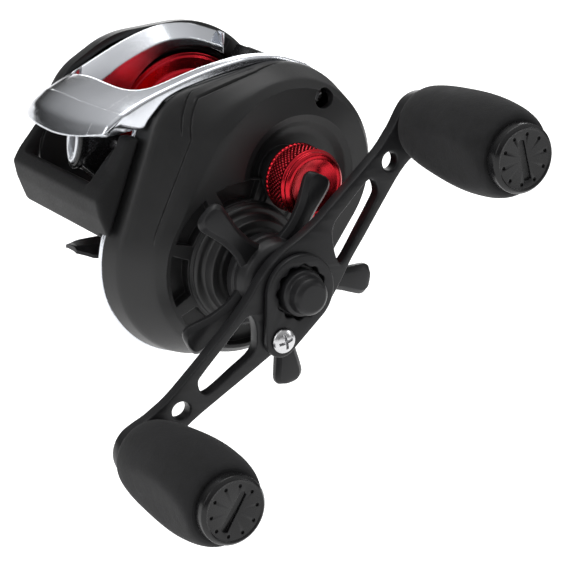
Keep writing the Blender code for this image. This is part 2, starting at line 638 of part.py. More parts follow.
YOKE_PLANES = (16.5 * MM, 17.4 * MM)
YOKE_HALF_SPAN = 11.0 * MM
GEAR_PLANES = (19.5 * MM, 22.8 * MM)
LEVELWIND_PLANES = (17.6 * MM, 18.9 * MM)
GEAR_DISTANCE = distance(DRIVE_AXIS, SPOOL_AXIS)
DRIVE_PITCH = GEAR_DISTANCE * DRIVE_TEETH / (DRIVE_TEETH + PINION_TEETH)
PINION_PITCH = GEAR_DISTANCE - DRIVE_PITCH
MESH_ANGLE = direction(DRIVE_AXIS, SPOOL_AXIS)


def pinion_gear():
    """Long pinion on the spool's shaft line, with a groove for the clutch yoke."""
    phase = MESH_ANGLE + math.pi + math.pi / PINION_TEETH
    part = plate("pinion_gear", SPOOL_AXIS, gear_outline(PINION_TEETH, PINION_PITCH, phase),
                 (17.9 * MM, 26.0 * MM), BRASS)
    hub = lathe("pinion_hub", SPOOL_AXIS, [
        (18.2 * MM, 0), (18.2 * MM, 2.6 * MM), (16.1 * MM, 2.6 * MM), (16.1 * MM, 3.1 * MM),
        (13.6 * MM, 3.1 * MM), (13.6 * MM, 0),
    ], BRASS, 24)
    join(part, hub)
    cut(part, rod("pinion_bore", SPOOL_AXIS, (10.0 * MM, 30.0 * MM), 2.2 * MM, STEEL, 20))
    return part


def clutch_yoke():
    """Fork that lifts the pinion off the spool; two short springs push it back."""
    across = MESH_ANGLE + math.pi / 2
    outline = millimetres((13.0, -2.6), (13.0, 2.6), (9.0, 2.6), (4.2, 4.4), (-4.2, 4.4), (-9.0, 2.6),
                          (-13.0, 2.6), (-13.0, -2.6), (-9.0, -2.6), (-6.0, -3.6), (-2.9, -3.6),
                          (-2.9, 0.0), (-2.05, 2.05), (0.0, 2.9), (2.05, 2.05), (2.9, 0.0), (2.9, -3.6),
                          (6.0, -3.6), (9.0, -2.6))
    part = plate("clutch_yoke", SPOOL_AXIS, turned(outline[::-1], across + math.pi), YOKE_PLANES,
                 BLACK_PLASTIC)
    for name, side in (("yoke_spring_upper", 1), ("yoke_spring_lower", -1)):
        place = (SPOOL_AXIS[0] + side * YOKE_HALF_SPAN * math.cos(across),
                 SPOOL_AXIS[1] + side * YOKE_HALF_SPAN * math.sin(across))
        coil_spring(name, place, (YOKE_PLANES[1] + 0.55 * MM, 23.6 * MM), 1.6 * MM, 0.3 * MM, 4)
    return part


def coil_spring(name, axis, x_range, coil_radius, wire_radius, turns):
    low, high = x_range
    count = turns * 8 + 1
    curve = bpy.data.curves.new(name, 'CURVE')
    curve.dimensions = '3D'
    curve.bevel_depth = wire_radius
    curve.bevel_resolution = 0
    curve.use_fill_caps = True
    spline = curve.splines.new('POLY')
    spline.points.add(count - 1)
    for i, point in enumerate(spline.points):
        along = i / (count - 1)
        angle = 2 * math.pi * turns * along
        height = low + (high - low) * along
        point.co = (coil_radius * math.cos(angle), coil_radius * math.sin(angle), height, 1)
    return add_object(name, curve, axis, STEEL)


# -------------------------------------------------------------------- drive line


def drive_line():
    lathe("drive_shaft", DRIVE_AXIS, [
        (54.6 * MM, 0), (54.6 * MM, 2.4 * MM), (47.6 * MM, 2.4 * MM), (47.4 * MM, 3.0 * MM),
        (14.2 * MM, 3.0 * MM), (14.2 * MM, 0),
    ], STEEL)
    plate("drive_gear", DRIVE_AXIS, gear_outline(DRIVE_TEETH, DRIVE_PITCH, MESH_ANGLE),
          GEAR_PLANES, BRASS, holes=[circle(3.3 * MM, 20)])
    tube("drag_washer", DRIVE_AXIS, (23.05 * MM, 23.45 * MM), (6.4 * MM, 12.0 * MM), CARBON, 24)
    lathe("pressure_plate", DRIVE_AXIS, [
        (24.5 * MM, 11.8 * MM), (23.7 * MM, 11.8 * MM), (23.7 * MM, 3.3 * MM), (25.0 * MM, 3.3 * MM),
        (25.0 * MM, 5.6 * MM), (24.5 * MM, 6.0 * MM),
    ], STEEL, 24, ring=True)
    ratchet = gear_outline(16, 6.6 * MM)
    plate("ratchet_wheel", DRIVE_AXIS, ratchet, (16.0 * MM, 17.2 * MM), STEEL, holes=[circle(3.3 * MM, 24)])
    tube("clutch_sleeve", DRIVE_AXIS, (25.3 * MM, 34.9 * MM), (3.3 * MM, 4.3 * MM), STEEL, 24)
    tube("one_way_bearing", DRIVE_AXIS, BEARING_SEAT, (4.6 * MM, 6.8 * MM), STEEL, 24)
    lathe("spring_washer", DRIVE_AXIS, [
        (36.0 * MM, 4.0 * MM), (35.5 * MM, 6.6 * MM), (35.1 * MM, 6.6 * MM), (35.6 * MM, 3.4 * MM),
        (36.0 * MM, 3.4 * MM),
    ], STEEL, 24, ring=True)


def star_drag():
    """Wheel that tightens the drag: a domed hub and five flared arms."""
    part = lathe("star_drag", DRIVE_AXIS, [
        (45.4 * MM, 0), (45.4 * MM, 7.6 * MM), (44.2 * MM, 8.9 * MM), (41.8 * MM, 9.5 * MM),
        (37.2 * MM, 9.5 * MM), (36.4 * MM, 8.8 * MM), (36.4 * MM, 0),
    ], BLACK_METAL, 24)
    for i in range(STAR_ARMS):
        angle = STAR_FIRST_ANGLE + 2 * math.pi * i / STAR_ARMS
        sections = []
        for reach, half_width, low, high in (
                (6.0, 3.6, 38.2, 42.4), (12.6, 2.8, 41.0, 43.4), (20.0, 3.2, 41.0, 43.6),
                (23.6, 3.6, 41.0, 43.4)):
            outline = millimetres((-half_width, low), (half_width, low),
                                  (half_width, high), (-half_width, high))
            sections.append((reach * MM, outline))
        tip = millimetres((-2.2, 41.3), (2.2, 41.3), (2.2, 43.0), (-2.2, 43.0))
        sections.append((STAR_REACH, tip))
        arm = loft("star_arm_%d" % (i + 1), DRIVE_AXIS, sections, BLACK_METAL)
        outward = Vector((0, math.cos(angle), math.sin(angle)))
        sideways = Vector((0, -math.sin(angle), math.cos(angle)))
        arm.matrix_world = Matrix.Translation((0, *DRIVE_AXIS)) @ Matrix((
            (0, 1, 0, 0),
            (sideways.y, 0, outward.y, 0),
            (sideways.z, 0, outward.z, 0),
            (0, 0, 0, 1)))
        join(part, arm)
    cut(part, rod("star_bore", DRIVE_AXIS, (30.0 * MM, 50.0 * MM), 3.3 * MM, STEEL, 24))
    return part


# ------------------------------------------------------------------------- crank

SCREW_ON_ARM = (-10.3 * MM, -4.4 * MM)
ARM_HALF_WIDTHS = ((0.0, 9.4), (4.0, 9.0), (9.0, 7.8), (14.0, 6.7), (20.0, 6.0), (28.0, 5.0), (36.0, 4.2),
                   (41.0, 4.6), (45.0, 5.8))
ARM_SLOT = ((12.2, -5.0), (11.4, -3.4), (13.0, -0.3), (16.1, 2.7), (22.0, 2.6), (28.6, 2.1), (30.2, 0.6),
            (29.2, -2.0), (27.0, -2.8), (20.0, -3.9))


def arm_outline():
    """Half of the arm's edge along one side, then the same turned half a turn."""
    upper = [(along * MM, half * MM) for along, half in ARM_HALF_WIDTHS]
    tip = circle(6.4 * MM, 9, (CRANK_REACH, 0), math.radians(100), math.radians(-200))
    lower = [(along * MM, -half * MM) for along, half in ARM_HALF_WIDTHS[:0:-1]]
    side = upper + tip + lower
    return (side + turned(side, math.pi))[::-1]


def crank_in(part):
    """Bend both ends of the arm towards the body, smoothly from the hub outwards."""
    start, end = 11.0 * MM, 40.0 * MM
    for vertex in part.data.vertices:
        reach = math.hypot(vertex.co.x, vertex.co.y)
        along = min(1.0, max(0.0, (reach - start) / (end - start)))
        vertex.co.z -= CRANK_OFFSET * along


def handle_arm():
    slot = [(along * MM, across * MM) for along, across in ARM_SLOT]
    hole = circle(2.1 * MM, 12, (36.0 * MM, 0))
    spindle_hole = circle(2.3 * MM, 12, (CRANK_REACH, 0))
    holes = [circle(2.7 * MM, 20), circle(1.5 * MM, 12, SCREW_ON_ARM)]
    for half_turn in (0.0, math.pi):
        holes += [turned(slot, half_turn), turned(hole, half_turn), turned(spindle_hole, half_turn)]
    outline = turned(arm_outline(), CRANK_ANGLE)
    part = plate("handle_arm", DRIVE_AXIS, outline, ARM_PLANES, BLACK_METAL,
                 holes=[turned(loop, CRANK_ANGLE) for loop in holes])
    crank_in(part)
    return part


def handle_fasteners():
    screw_local = turned([SCREW_ON_ARM], CRANK_ANGLE)[0]
    screw_axis = (DRIVE_AXIS[0] + screw_local[0], DRIVE_AXIS[1] + screw_local[1])
    face = ARM_PLANES[1]
    lathe("handle_nut", DRIVE_AXIS, [
        (57.9 * MM, 0), (57.9 * MM, 3.4 * MM), (57.2 * MM, 4.15 * MM), (54.2 * MM, 4.3 * MM),
        (54.0 * MM, 5.2 * MM), (face + GAP, 5.2 * MM), (face + GAP, 2.7 * MM), (55.0 * MM, 2.7 * MM),
        (55.0 * MM, 0),
    ], BLACK_METAL, 24)
    teardrop = around([(0, 0, 8.5 * MM), (*screw_local, 4.0 * MM)], 36)
    scallops = []
    for i in range(24):
        angle = 2 * math.pi * i / 24
        radius = (6.3 if i % 2 else 5.7) * MM
        scallops.append((radius * math.cos(angle), radius * math.sin(angle)))
    plate("nut_retainer", DRIVE_AXIS, teardrop, (face + GAP, face + 2.0 * MM), BLACK_METAL,
          holes=[scallops, circle(1.5 * MM, 12, screw_local)])
    lathe("retainer_screw", screw_axis, [
        (face + 3.6 * MM, 0), (face + 3.5 * MM, 1.6 * MM), (face + 2.9 * MM, 2.8 * MM),
        (face + 2.3 * MM, 2.8 * MM), (face + 2.3 * MM, 1.2 * MM), (face - 2.4 * MM, 1.2 * MM),
        (face - 2.4 * MM, 0),
    ], STEEL, 24)


def knob(name, half_turn):
    """A foam grip on a core sleeve that spins on the spindle, with a plug in its end."""
    centre = turned([(CRANK_REACH, 0)], CRANK_ANGLE + half_turn)[0]
    axis = (DRIVE_AXIS[0] + centre[0], DRIVE_AXIS[1] + centre[1])
    arm_low = ARM_PLANES[0] - CRANK_OFFSET
    arm_high = ARM_PLANES[1] - CRANK_OFFSET
    grip_base = arm_high + 1.6 * MM
    cap_base = KNOB_CAP_FACE - 3.2 * MM
    core_end = cap_base - 0.6 * MM
    lathe("knob_spindle_" + name, axis, [
        (core_end - 2.0 * MM, 0), (core_end - 2.0 * MM, 1.7 * MM), (arm_high + 0.5 * MM, 1.7 * MM),
        (arm_high + 0.5 * MM, 3.2 * MM), (arm_high + 0.2 * MM, 3.2 * MM), (arm_high + 0.2 * MM, 2.0 * MM),
        (arm_low - 0.3 * MM, 2.0 * MM), (arm_low - 0.3 * MM, 3.2 * MM), (arm_low - 1.0 * MM, 2.8 * MM),
        (arm_low - 1.0 * MM, 0),
    ], STEEL, 20)
    lathe("knob_core_" + name, axis, [
        (core_end, 4.4 * MM), (grip_base - 0.6 * MM, 4.4 * MM), (grip_base - 0.6 * MM, 2.1 * MM),
        (core_end - 6.4 * MM, 2.1 * MM), (core_end - 6.2 * MM, 3.4 * MM), (core_end, 3.4 * MM),
    ], BLACK_PLASTIC, 24, ring=True)
    tube("knob_bearing_" + name, axis, (core_end - 5.6 * MM, core_end - 3.0 * MM),
         (1.95 * MM, 3.15 * MM), STEEL, 20)
    shape = ((0.0, 7.4), (0.02, 8.2), (0.12, 9.1), (0.35, 10.2), (0.6, 10.8), (0.85, 10.3), (0.97, 9.2),
             (1.0, 8.3))
    length = cap_base - GAP - grip_base
    outer = [(grip_base + length * along, radius * MM) for along, radius in shape[::-1]]
    bore = [(grip_base, 4.7 * MM), (cap_base - GAP, 4.7 * MM)]
    lathe("knob_grip_" + name, axis, outer + bore, FOAM, 20, ring=True)
    lathe("knob_cap_" + name, axis, [
        (KNOB_CAP_FACE, 0), (KNOB_CAP_FACE, 7.0 * MM), (KNOB_CAP_FACE - 0.7 * MM, 7.65 * MM),
        (cap_base, 7.65 * MM), (cap_base, 3.1 * MM), (core_end - 1.6 * MM, 3.1 * MM),
        (core_end - 1.6 * MM, 0),
    ], BLACK_PLASTIC, 24)


# --------------------------------------------------------------- brake, level wind


def brake():
    grip = gear_outline(20, 8.4 * MM)
    plate("brake_dial", SPOOL_AXIS, grip, (-30.4 * MM, -28.7 * MM), BLACK_PLASTIC)
    tube("magnet_ring", SPOOL_AXIS, (-23.8 * MM, -21.8 * MM), (7.6 * MM, 12.4 * MM), BLACK_METAL, 28)


def level_wind():
    """Worm, its gear train, and the line guide that the worm drives from side to side."""
    lathe("worm_shaft", WORM_AXIS, [
        (19.4 * MM, 0), (19.4 * MM, 0.9 * MM), (16.6 * MM, 0.9 * MM), (16.6 * MM, 2.0 * MM),
        (13.0 * MM, 2.0 * MM), (12.8 * MM, 2.5 * MM),
        (-17.6 * MM, 2.5 * MM), (-17.8 * MM, 1.6 * MM), (-20.2 * MM, 1.6 * MM), (-20.2 * MM, 0),
    ], STEEL, 24)
    tube("worm_bushing_palm", WORM_AXIS, (-20.4 * MM, -18.3 * MM), (1.9 * MM, 2.95 * MM), BLACK_PLASTIC, 20)
    tube("worm_bushing_gear", WORM_AXIS, (13.5 * MM, 15.5 * MM), (2.2 * MM, 2.95 * MM), BLACK_PLASTIC, 20)
    rod("guide_rod", GUIDE_ROD_AXIS, (-20.4 * MM, 15.4 * MM), 1.2 * MM, STEEL, 16)


def level_wind_gears():
    """Three gears in one plane: on the drive shaft, an idler, and on the worm."""
    span = distance(DRIVE_AXIS, WORM_AXIS)
    heading = direction(DRIVE_AXIS, WORM_AXIS)
    pitch_per_tooth = span / (LEVELWIND_TEETH + 2 * IDLER_TEETH + WORM_TEETH)
    drive_pitch = LEVELWIND_TEETH * pitch_per_tooth
    idler_pitch = IDLER_TEETH * pitch_per_tooth
    worm_pitch = WORM_TEETH * pitch_per_tooth
    idler_reach = drive_pitch + idler_pitch
    idler_axis = (DRIVE_AXIS[0] + idler_reach * math.cos(heading),
                  DRIVE_AXIS[1] + idler_reach * math.sin(heading))
    plate("levelwind_drive_gear", DRIVE_AXIS, gear_outline(LEVELWIND_TEETH, drive_pitch, heading),
          LEVELWIND_PLANES, BLACK_PLASTIC, holes=[circle(3.3 * MM, 24)])
    idler_phase = heading + math.pi + math.pi / IDLER_TEETH
    plate("idler_gear", idler_axis, gear_outline(IDLER_TEETH, idler_pitch, idler_phase),
          LEVELWIND_PLANES, BLACK_PLASTIC, holes=[circle(1.3 * MM, 16)])
    rod("idler_pin", idler_axis, (15.9 * MM, 19.2 * MM), 1.0 * MM, STEEL, 12)
    idler_far_phase = idler_phase - heading
    teeth_past = idler_far_phase * IDLER_TEETH / (2 * math.pi)
    worm_phase = heading + math.pi + (0.5 + teeth_past) * 2 * math.pi / WORM_TEETH
    plate("worm_gear", WORM_AXIS, gear_outline(WORM_TEETH, worm_pitch, worm_phase),
          LEVELWIND_PLANES, BLACK_PLASTIC, holes=[circle(1.2 * MM, 16)])


GUIDE_CENTRE = 1.0 * MM
GUIDE_HALF = 3.3 * MM
EYE_HEIGHT = 26.0 * MM
EYE_PLANES = (-34.4 * MM, -32.2 * MM)


def oval(half_width, half_height, count=24):
    """An ellipse in the plane square to Y, centred on the guide's eye."""
    angles = [2 * math.pi * i / count for i in range(count)]
    return [(half_width * math.cos(angle) - GUIDE_CENTRE, half_height * math.sin(angle) + EYE_HEIGHT)
            for angle in angles]


def square_to_y(part):
    part.matrix_world = ALONG_Y
    return part


def line_guide():
    """Sliding block on the worm and the rod, with a tall oval eye for the line at its front."""
    front = (-31.4 * MM, 21.6 * MM, 1.8 * MM)
    block = around([(*WORM_AXIS, 4.3 * MM), (*GUIDE_ROD_AXIS, 3.0 * MM), front], 24)
    width = (GUIDE_CENTRE - GUIDE_HALF, GUIDE_CENTRE + GUIDE_HALF)
    part = plate("line_guide", ORIGIN, block, width, BLACK_PLASTIC)
    eye = square_to_y(plate("guide_eye", ORIGIN, oval(3.6 * MM, 6.6 * MM), EYE_PLANES, BLACK_PLASTIC))
    eye_hole = square_to_y(plate("guide_eye_hole", ORIGIN, oval(2.7 * MM, 5.6 * MM),
                                 (EYE_PLANES[0] - 1 * MM, EYE_PLANES[1] + 0.6 * MM), BLACK_PLASTIC))
    pawl_place = (GUIDE_CENTRE, WORM_AXIS[0])
    join(part, eye)
    cut(part, eye_hole, rod("guide_worm_bore", WORM_AXIS, (-10 * MM, 10 * MM), 2.8 * MM, STEEL, 24),
        rod("guide_rod_bore", GUIDE_ROD_AXIS, (-10 * MM, 10 * MM), 1.5 * MM, STEEL, 16),
        upright("guide_pawl_bore", pawl_place, (10.0 * MM, 15.0 * MM), (1.7 * MM, 1.7 * MM), STEEL))
    ring_planes = (EYE_PLANES[0] - 0.5 * MM, EYE_PLANES[1] - 0.3 * MM)
    square_to_y(plate("guide_ring", ORIGIN, oval(2.4 * MM, 5.3 * MM), ring_planes, CERAMIC,
                      holes=[oval(1.5 * MM, 4.3 * MM)]))
    upright("guide_pawl", pawl_place, (12.0 * MM, 13.3 * MM), (1.3 * MM, 1.3 * MM), BRASS)
    return part


def build():
    main_frame()
    nose_guard()
    reel_foot()
    foot_screws()
    hood()
    gear_case_trim()
    handle_side_cover()
    palm_side_cover()
    thumb_rest()
    thumb_bar()
    cover_screw()
    spool()
    spool_line()
    pinion_gear()
    clutch_yoke()
    drive_line()
    star_drag()
    handle_arm()
    handle_fasteners()
    knob("upper", 0.0)
    knob("lower", math.pi)
    brake()
    level_wind()
    level_wind_gears()
    line_guide()


build()
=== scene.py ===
"""Studio scene of a low-profile baitcasting reel.

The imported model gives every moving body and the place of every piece. This script adds the
camera, the light and the finished surfaces: turned, lofted and bevelled pieces that stand for
the CAD nodes, each with a procedural material. Metres, +X towards the crank, +Z up.
"""
import json
import math

import bmesh
import bpy
from mathutils import Matrix, Vector


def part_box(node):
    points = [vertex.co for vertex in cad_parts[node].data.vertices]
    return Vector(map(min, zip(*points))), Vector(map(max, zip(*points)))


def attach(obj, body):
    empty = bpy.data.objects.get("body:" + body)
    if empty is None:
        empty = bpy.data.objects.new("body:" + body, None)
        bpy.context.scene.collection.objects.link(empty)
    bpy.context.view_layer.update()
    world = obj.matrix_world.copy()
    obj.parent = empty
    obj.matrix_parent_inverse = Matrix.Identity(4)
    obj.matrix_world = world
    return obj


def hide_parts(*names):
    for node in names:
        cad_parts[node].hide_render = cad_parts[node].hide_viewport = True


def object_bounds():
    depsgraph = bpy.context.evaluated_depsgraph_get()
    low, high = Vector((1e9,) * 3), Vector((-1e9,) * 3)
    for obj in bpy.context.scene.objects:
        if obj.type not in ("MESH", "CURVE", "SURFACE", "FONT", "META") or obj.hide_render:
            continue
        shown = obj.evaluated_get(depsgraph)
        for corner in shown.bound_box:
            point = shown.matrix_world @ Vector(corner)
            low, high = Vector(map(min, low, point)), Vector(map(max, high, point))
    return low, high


MM = 0.001
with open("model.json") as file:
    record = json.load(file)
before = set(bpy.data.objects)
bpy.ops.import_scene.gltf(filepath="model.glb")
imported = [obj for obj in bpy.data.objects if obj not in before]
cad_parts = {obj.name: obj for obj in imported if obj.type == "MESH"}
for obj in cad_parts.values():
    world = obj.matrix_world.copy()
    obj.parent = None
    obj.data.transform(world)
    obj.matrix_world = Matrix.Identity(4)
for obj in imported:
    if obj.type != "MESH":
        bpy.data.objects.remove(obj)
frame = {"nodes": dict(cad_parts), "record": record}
cad_low, cad_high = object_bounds()

# Shaft lines, as (y, z), and the planes across the body that the pieces meet at
SPOOL_AXIS = (5.0 * MM, 23.3 * MM)
DRIVE_AXIS = (-4.3 * MM, 3.0 * MM)
PALM_PLATE = (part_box("main_frame")[0].x, -18.2 * MM)
GEAR_PLATE = (13.4 * MM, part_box("main_frame")[1].x)
HOOD_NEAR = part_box("hood")[1].x
COVER_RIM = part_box("handle_side_cover")[0].x
ARM_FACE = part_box("handle_arm")[1].x
CRANK_ANGLE = math.radians(47.83)
CRANK_REACH = 48.0 * MM
CRANK_OFFSET = 4.5 * MM

# --------------------------------------------------------------- camera and light

CAMERA_PLACE = Vector((0.5078, -0.3145, 0.1548))
CAMERA_FORWARD = Vector((-0.80055, 0.53812, -0.26371))
CAMERA_RIGHT = Vector((0.53441, 0.84019, 0.09217))
CAMERA_LENS = 166.48
FLOOR_DROP = 60.0 * MM


def add(name, data):
    thing = bpy.data.objects.new(name, data)
    bpy.context.scene.collection.objects.link(thing)
    return thing


def make_camera():
    data = bpy.data.cameras.new("camera")
    data.lens = CAMERA_LENS
    data.sensor_width = 36.0
    data.clip_start = 0.01
    data.clip_end = 20.0
    camera = add("camera", data)
    back = -CAMERA_FORWARD.normalized()
    right = CAMERA_RIGHT.normalized()
    up = back.cross(right).normalized()
    turn = Matrix((right, up, back)).transposed()
    camera.matrix_world = Matrix.Translation(CAMERA_PLACE) @ turn.to_4x4()
    bpy.context.scene.camera = camera


def area_light(name, place, target, size, power, colour=(1.0, 1.0, 1.0)):
    data = bpy.data.lights.new(name, 'AREA')
    data.shape = 'RECTANGLE'
    data.size, data.size_y = size
    data.energy = power
    data.color = colour
    light = add(name, data)
    light.location = place
    light.rotation_euler = (Vector(target) - Vector(place)).to_track_quat('-Z', 'Y').to_euler()


def make_studio():
    make_camera()
    middle = (cad_low + cad_high) / 2
    area_light("overhead", (-0.1, 0.0, 0.8), middle, (0.5, 0.5), 2.0)
    area_light("front_left", (0.1, -0.8, 0.35), middle, (0.3, 0.5), 1.5)
    area_light("right", (0.55, 0.7, 0.4), middle, (0.15, 0.6), 1.3)
    area_light("behind", (-0.7, 0.4, 0.3), middle, (0.4, 0.4), 1.6)
    world = bpy.data.worlds.new("studio")
    world.use_nodes = True
    sky = world.node_tree
    where = sky.nodes.new("ShaderNodeTexCoord").outputs["Generated"]
    height = sky.nodes.new("ShaderNodeSeparateXYZ")
    sky.links.new(where, height.inputs["Vector"])
    sky.nodes["Background"].inputs["Color"].default_value = (1.0, 1.0, 1.0, 1.0)
    glow = spread(sky, height.outputs["Z"], 0.03, 0.75, 0.05, 0.9)
    sky.links.new(glow, sky.nodes["Background"].inputs["Strength"])
    bpy.context.scene.world = world
    bpy.context.scene.view_settings.view_transform = 'Standard'
    bm = bmesh.new()
    bmesh.ops.create_grid(bm, x_segments=1, y_segments=1, size=6.0)
    mesh = bpy.data.meshes.new("floor")
    bm.to_mesh(mesh)
    bm.free()
    floor = add("floor", mesh)
    floor.location.z = cad_low.z - FLOOR_DROP
    floor.data.materials.append(floor_material())


# -------------------------------------------------------------------- materials


def new_tree(name):
    material = bpy.data.materials.new(name)
    material.use_nodes = True
    tree = material.node_tree
    return material, tree, tree.nodes["Principled BSDF"]


def floor_material():
    material, tree, shader = new_tree("pale_floor")
    shader.inputs["Base Color"].default_value = (0.93, 0.93, 0.93, 1.0)
    shader.inputs["Roughness"].default_value = 0.9
    shader.inputs["Specular IOR Level"].default_value = 0.0
    shader.inputs["Emission Color"].default_value = (1.0, 1.0, 1.0, 1.0)
    shader.inputs["Emission Strength"].default_value = 0.62
    return material


def noise(tree, source, scale, detail=3.0, stretch=(1.0, 1.0, 1.0)):
    texture = tree.nodes.new("ShaderNodeTexNoise")
    texture.inputs["Scale"].default_value = scale
    texture.inputs["Detail"].default_value = detail
    mapping = tree.nodes.new("ShaderNodeMapping")
    mapping.inputs["Scale"].default_value = stretch
    tree.links.new(source, mapping.inputs["Vector"])
    tree.links.new(mapping.outputs["Vector"], texture.inputs["Vector"])
    return texture.outputs["Fac"]


def spread(tree, source, low, high, start=0.3, end=0.7):
    """Map a texture's middle range to low..high."""
    change = tree.nodes.new("ShaderNodeMapRange")
    change.inputs["From Min"].default_value = start
    change.inputs["From Max"].default_value = end
    change.inputs["To Min"].default_value = low
    change.inputs["To Max"].default_value = high
    tree.links.new(source, change.inputs["Value"])
    return change.outputs["Result"]


def bump(tree, height, strength, depth, normal=None):
    relief = tree.nodes.new("ShaderNodeBump")
    relief.inputs["Strength"].default_value = strength
    relief.inputs["Distance"].default_value = depth
    tree.links.new(height, relief.inputs["Height"])
    if normal is not None:
        tree.links.new(normal, relief.inputs["Normal"])
    return relief.outputs["Normal"]


def soft_edges(tree, radius):
    """A normal that rounds sharp edges, and a mask that is 1 on them."""
    edge = tree.nodes.new("ShaderNodeBevel")
    edge.samples = 6
    edge.inputs["Radius"].default_value = radius
    geometry = tree.nodes.new("ShaderNodeNewGeometry")
    compare = tree.nodes.new("ShaderNodeVectorMath")
    compare.operation = 'DOT_PRODUCT'
    tree.links.new(edge.outputs["Normal"], compare.inputs[0])
    tree.links.new(geometry.outputs["Normal"], compare.inputs[1])
    return edge.outputs["Normal"], spread(tree, compare.outputs["Value"], 1.0, 0.0, 0.93, 0.995)


def mix_colour(tree, mask, first, second):
    blend = tree.nodes.new("ShaderNodeMix")
    blend.data_type = 'RGBA'
    for socket, value in ((blend.inputs[6], first), (blend.inputs[7], second)):
        if isinstance(value, tuple):
            socket.default_value = (*value, 1.0)
        else:
            tree.links.new(value, socket)
    tree.links.new(mask, blend.inputs["Factor"])
    return blend.outputs[2]


def surface(name, colour, roughness, metallic=0.0, second=None, painted_edge_highlight=None, grain=2500.0, relief=0.004,
            patch=90.0, edge=0.2, stretch=(1.0, 1.0, 1.0), coat=0.0, specular=0.5):
    """A hard surface: patchy gloss, a fine grain, and edges that are rounded and painted a lighter colour
    as a painted edge highlight.
    """
    material, tree, shader = new_tree(name)
    where = tree.nodes.new("ShaderNodeTexCoord").outputs["Object"]
    patches = noise(tree, where, patch, 4.0)
    fine = noise(tree, where, grain, 2.0, stretch)
    rounded, mask = soft_edges(tree, edge * MM)
    tone = mix_colour(tree, spread(tree, patches, 0.0, 1.0), colour, second or colour)
    # Along the edges the colour is blended to a lighter one, patchy with noise: a painted highlight.
    if painted_edge_highlight:
        painted_highlight_patches = tree.nodes.new("ShaderNodeMath")
        painted_highlight_patches.operation = 'MULTIPLY'
        tree.links.new(mask, painted_highlight_patches.inputs[0])
        tree.links.new(spread(tree, noise(tree, where, 700.0, 4.0), 0.1, 0.7, 0.4, 0.65), painted_highlight_patches.inputs[1])
        tone = mix_colour(tree, painted_highlight_patches.outputs["Value"], tone, painted_edge_highlight)
    tree.links.new(tone, shader.inputs["Base Color"])
    low, high = roughness
    rough = tree.nodes.new("ShaderNodeMath")
    rough.operation = 'ADD'
    tree.links.new(spread(tree, patches, low, high), rough.inputs[0])
    tree.links.new(spread(tree, fine, -0.04, 0.04), rough.inputs[1])
    tree.links.new(rough.outputs["Value"], shader.inputs["Roughness"])
    tree.links.new(bump(tree, fine, 0.5, relief * MM, rounded), shader.inputs["Normal"])
    shader.inputs["Metallic"].default_value = metallic
    shader.inputs["Specular IOR Level"].default_value = specular
    shader.inputs["Coat Weight"].default_value = coat
    shader.inputs["Coat Roughness"].default_value = 0.12
    return material


def foam_surface():
    """Closed-cell foam: matt, with fine pits and a faint mottling."""
    material, tree, shader = new_tree("foam_cells")
    where = tree.nodes.new("ShaderNodeTexCoord").outputs["Object"]
    cells = tree.nodes.new("ShaderNodeTexVoronoi")
    cells.inputs["Scale"].default_value = 2600.0
    tree.links.new(where, cells.inputs["Vector"])
    mottle = noise(tree, where, 420.0, 5.0)
    broad = noise(tree, where, 60.0, 3.0)
    pits = spread(tree, cells.outputs["Distance"], 0.0, 1.0, 0.0, 0.55)
    tone = mix_colour(tree, spread(tree, mottle, 0.0, 1.0), (0.006, 0.006, 0.0065), (0.016, 0.016, 0.017))
    tone = mix_colour(tree, spread(tree, broad, 0.0, 0.4), tone, (0.02, 0.02, 0.021))
    tree.links.new(tone, shader.inputs["Base Color"])
    first = bump(tree, pits, 0.55, 0.05 * MM)
    tree.links.new(bump(tree, mottle, 0.6, 0.16 * MM, first), shader.inputs["Normal"])
    tree.links.new(spread(tree, mottle, 0.78, 0.95), shader.inputs["Roughness"])
    shader.inputs["Sheen Weight"].default_value = 0.04
    shader.inputs["Sheen Roughness"].default_value = 0.5
    shader.inputs["Specular IOR Level"].default_value = 0.25
    return material


# Each surface's sixth value is the lighter colour that is painted on its edges as a painted highlight.
BLACK = surface("satin_black", (0.0085, 0.0085, 0.009), (0.36, 0.46), 0.0, (0.012, 0.012, 0.0125),
                (0.05, 0.05, 0.052), 2200.0, 0.006, 60.0, 0.3, specular=0.38)
MATT_BLACK = surface("matt_black", (0.008, 0.008, 0.0085), (0.55, 0.66), 0.0, (0.011, 0.011, 0.0115),
                     (0.04, 0.04, 0.042), 2200.0, 0.006, 60.0, 0.3, specular=0.2)
BLACK_METAL = surface("black_anodised", (0.012, 0.012, 0.013), (0.34, 0.44), 0.2, (0.014, 0.014, 0.015),
                      (0.07, 0.07, 0.074), 3200.0, 0.005, 120.0, 0.25, specular=0.3)
GLOSS_BLACK = surface("gloss_black", (0.006, 0.006, 0.0065), (0.2, 0.3), 0.0, (0.009, 0.009, 0.0095),
                      (0.04, 0.04, 0.042), 1800.0, 0.003, 140.0, 0.2, specular=0.3)
CHROME = surface("satin_chrome", (0.6, 0.62, 0.66), (0.13, 0.22), 1.0, (0.68, 0.7, 0.74),
                 (0.82, 0.84, 0.87), 1800.0, 0.0015, 70.0, 0.6, (0.15, 1.0, 1.0))
RED = surface("red_anodised", (0.44, 0.014, 0.022), (0.2, 0.3), 1.0, (0.52, 0.02, 0.032),
              (0.85, 0.16, 0.18), 1500.0, 0.0015, 130.0, 0.15, (6.0, 0.4, 0.4))
STEEL = surface("steel_turned", (0.52, 0.52, 0.53), (0.2, 0.32), 1.0, (0.6, 0.6, 0.61),
                (0.8, 0.8, 0.8), 2600.0, 0.002, 150.0, 0.12, (5.0, 0.5, 0.5))
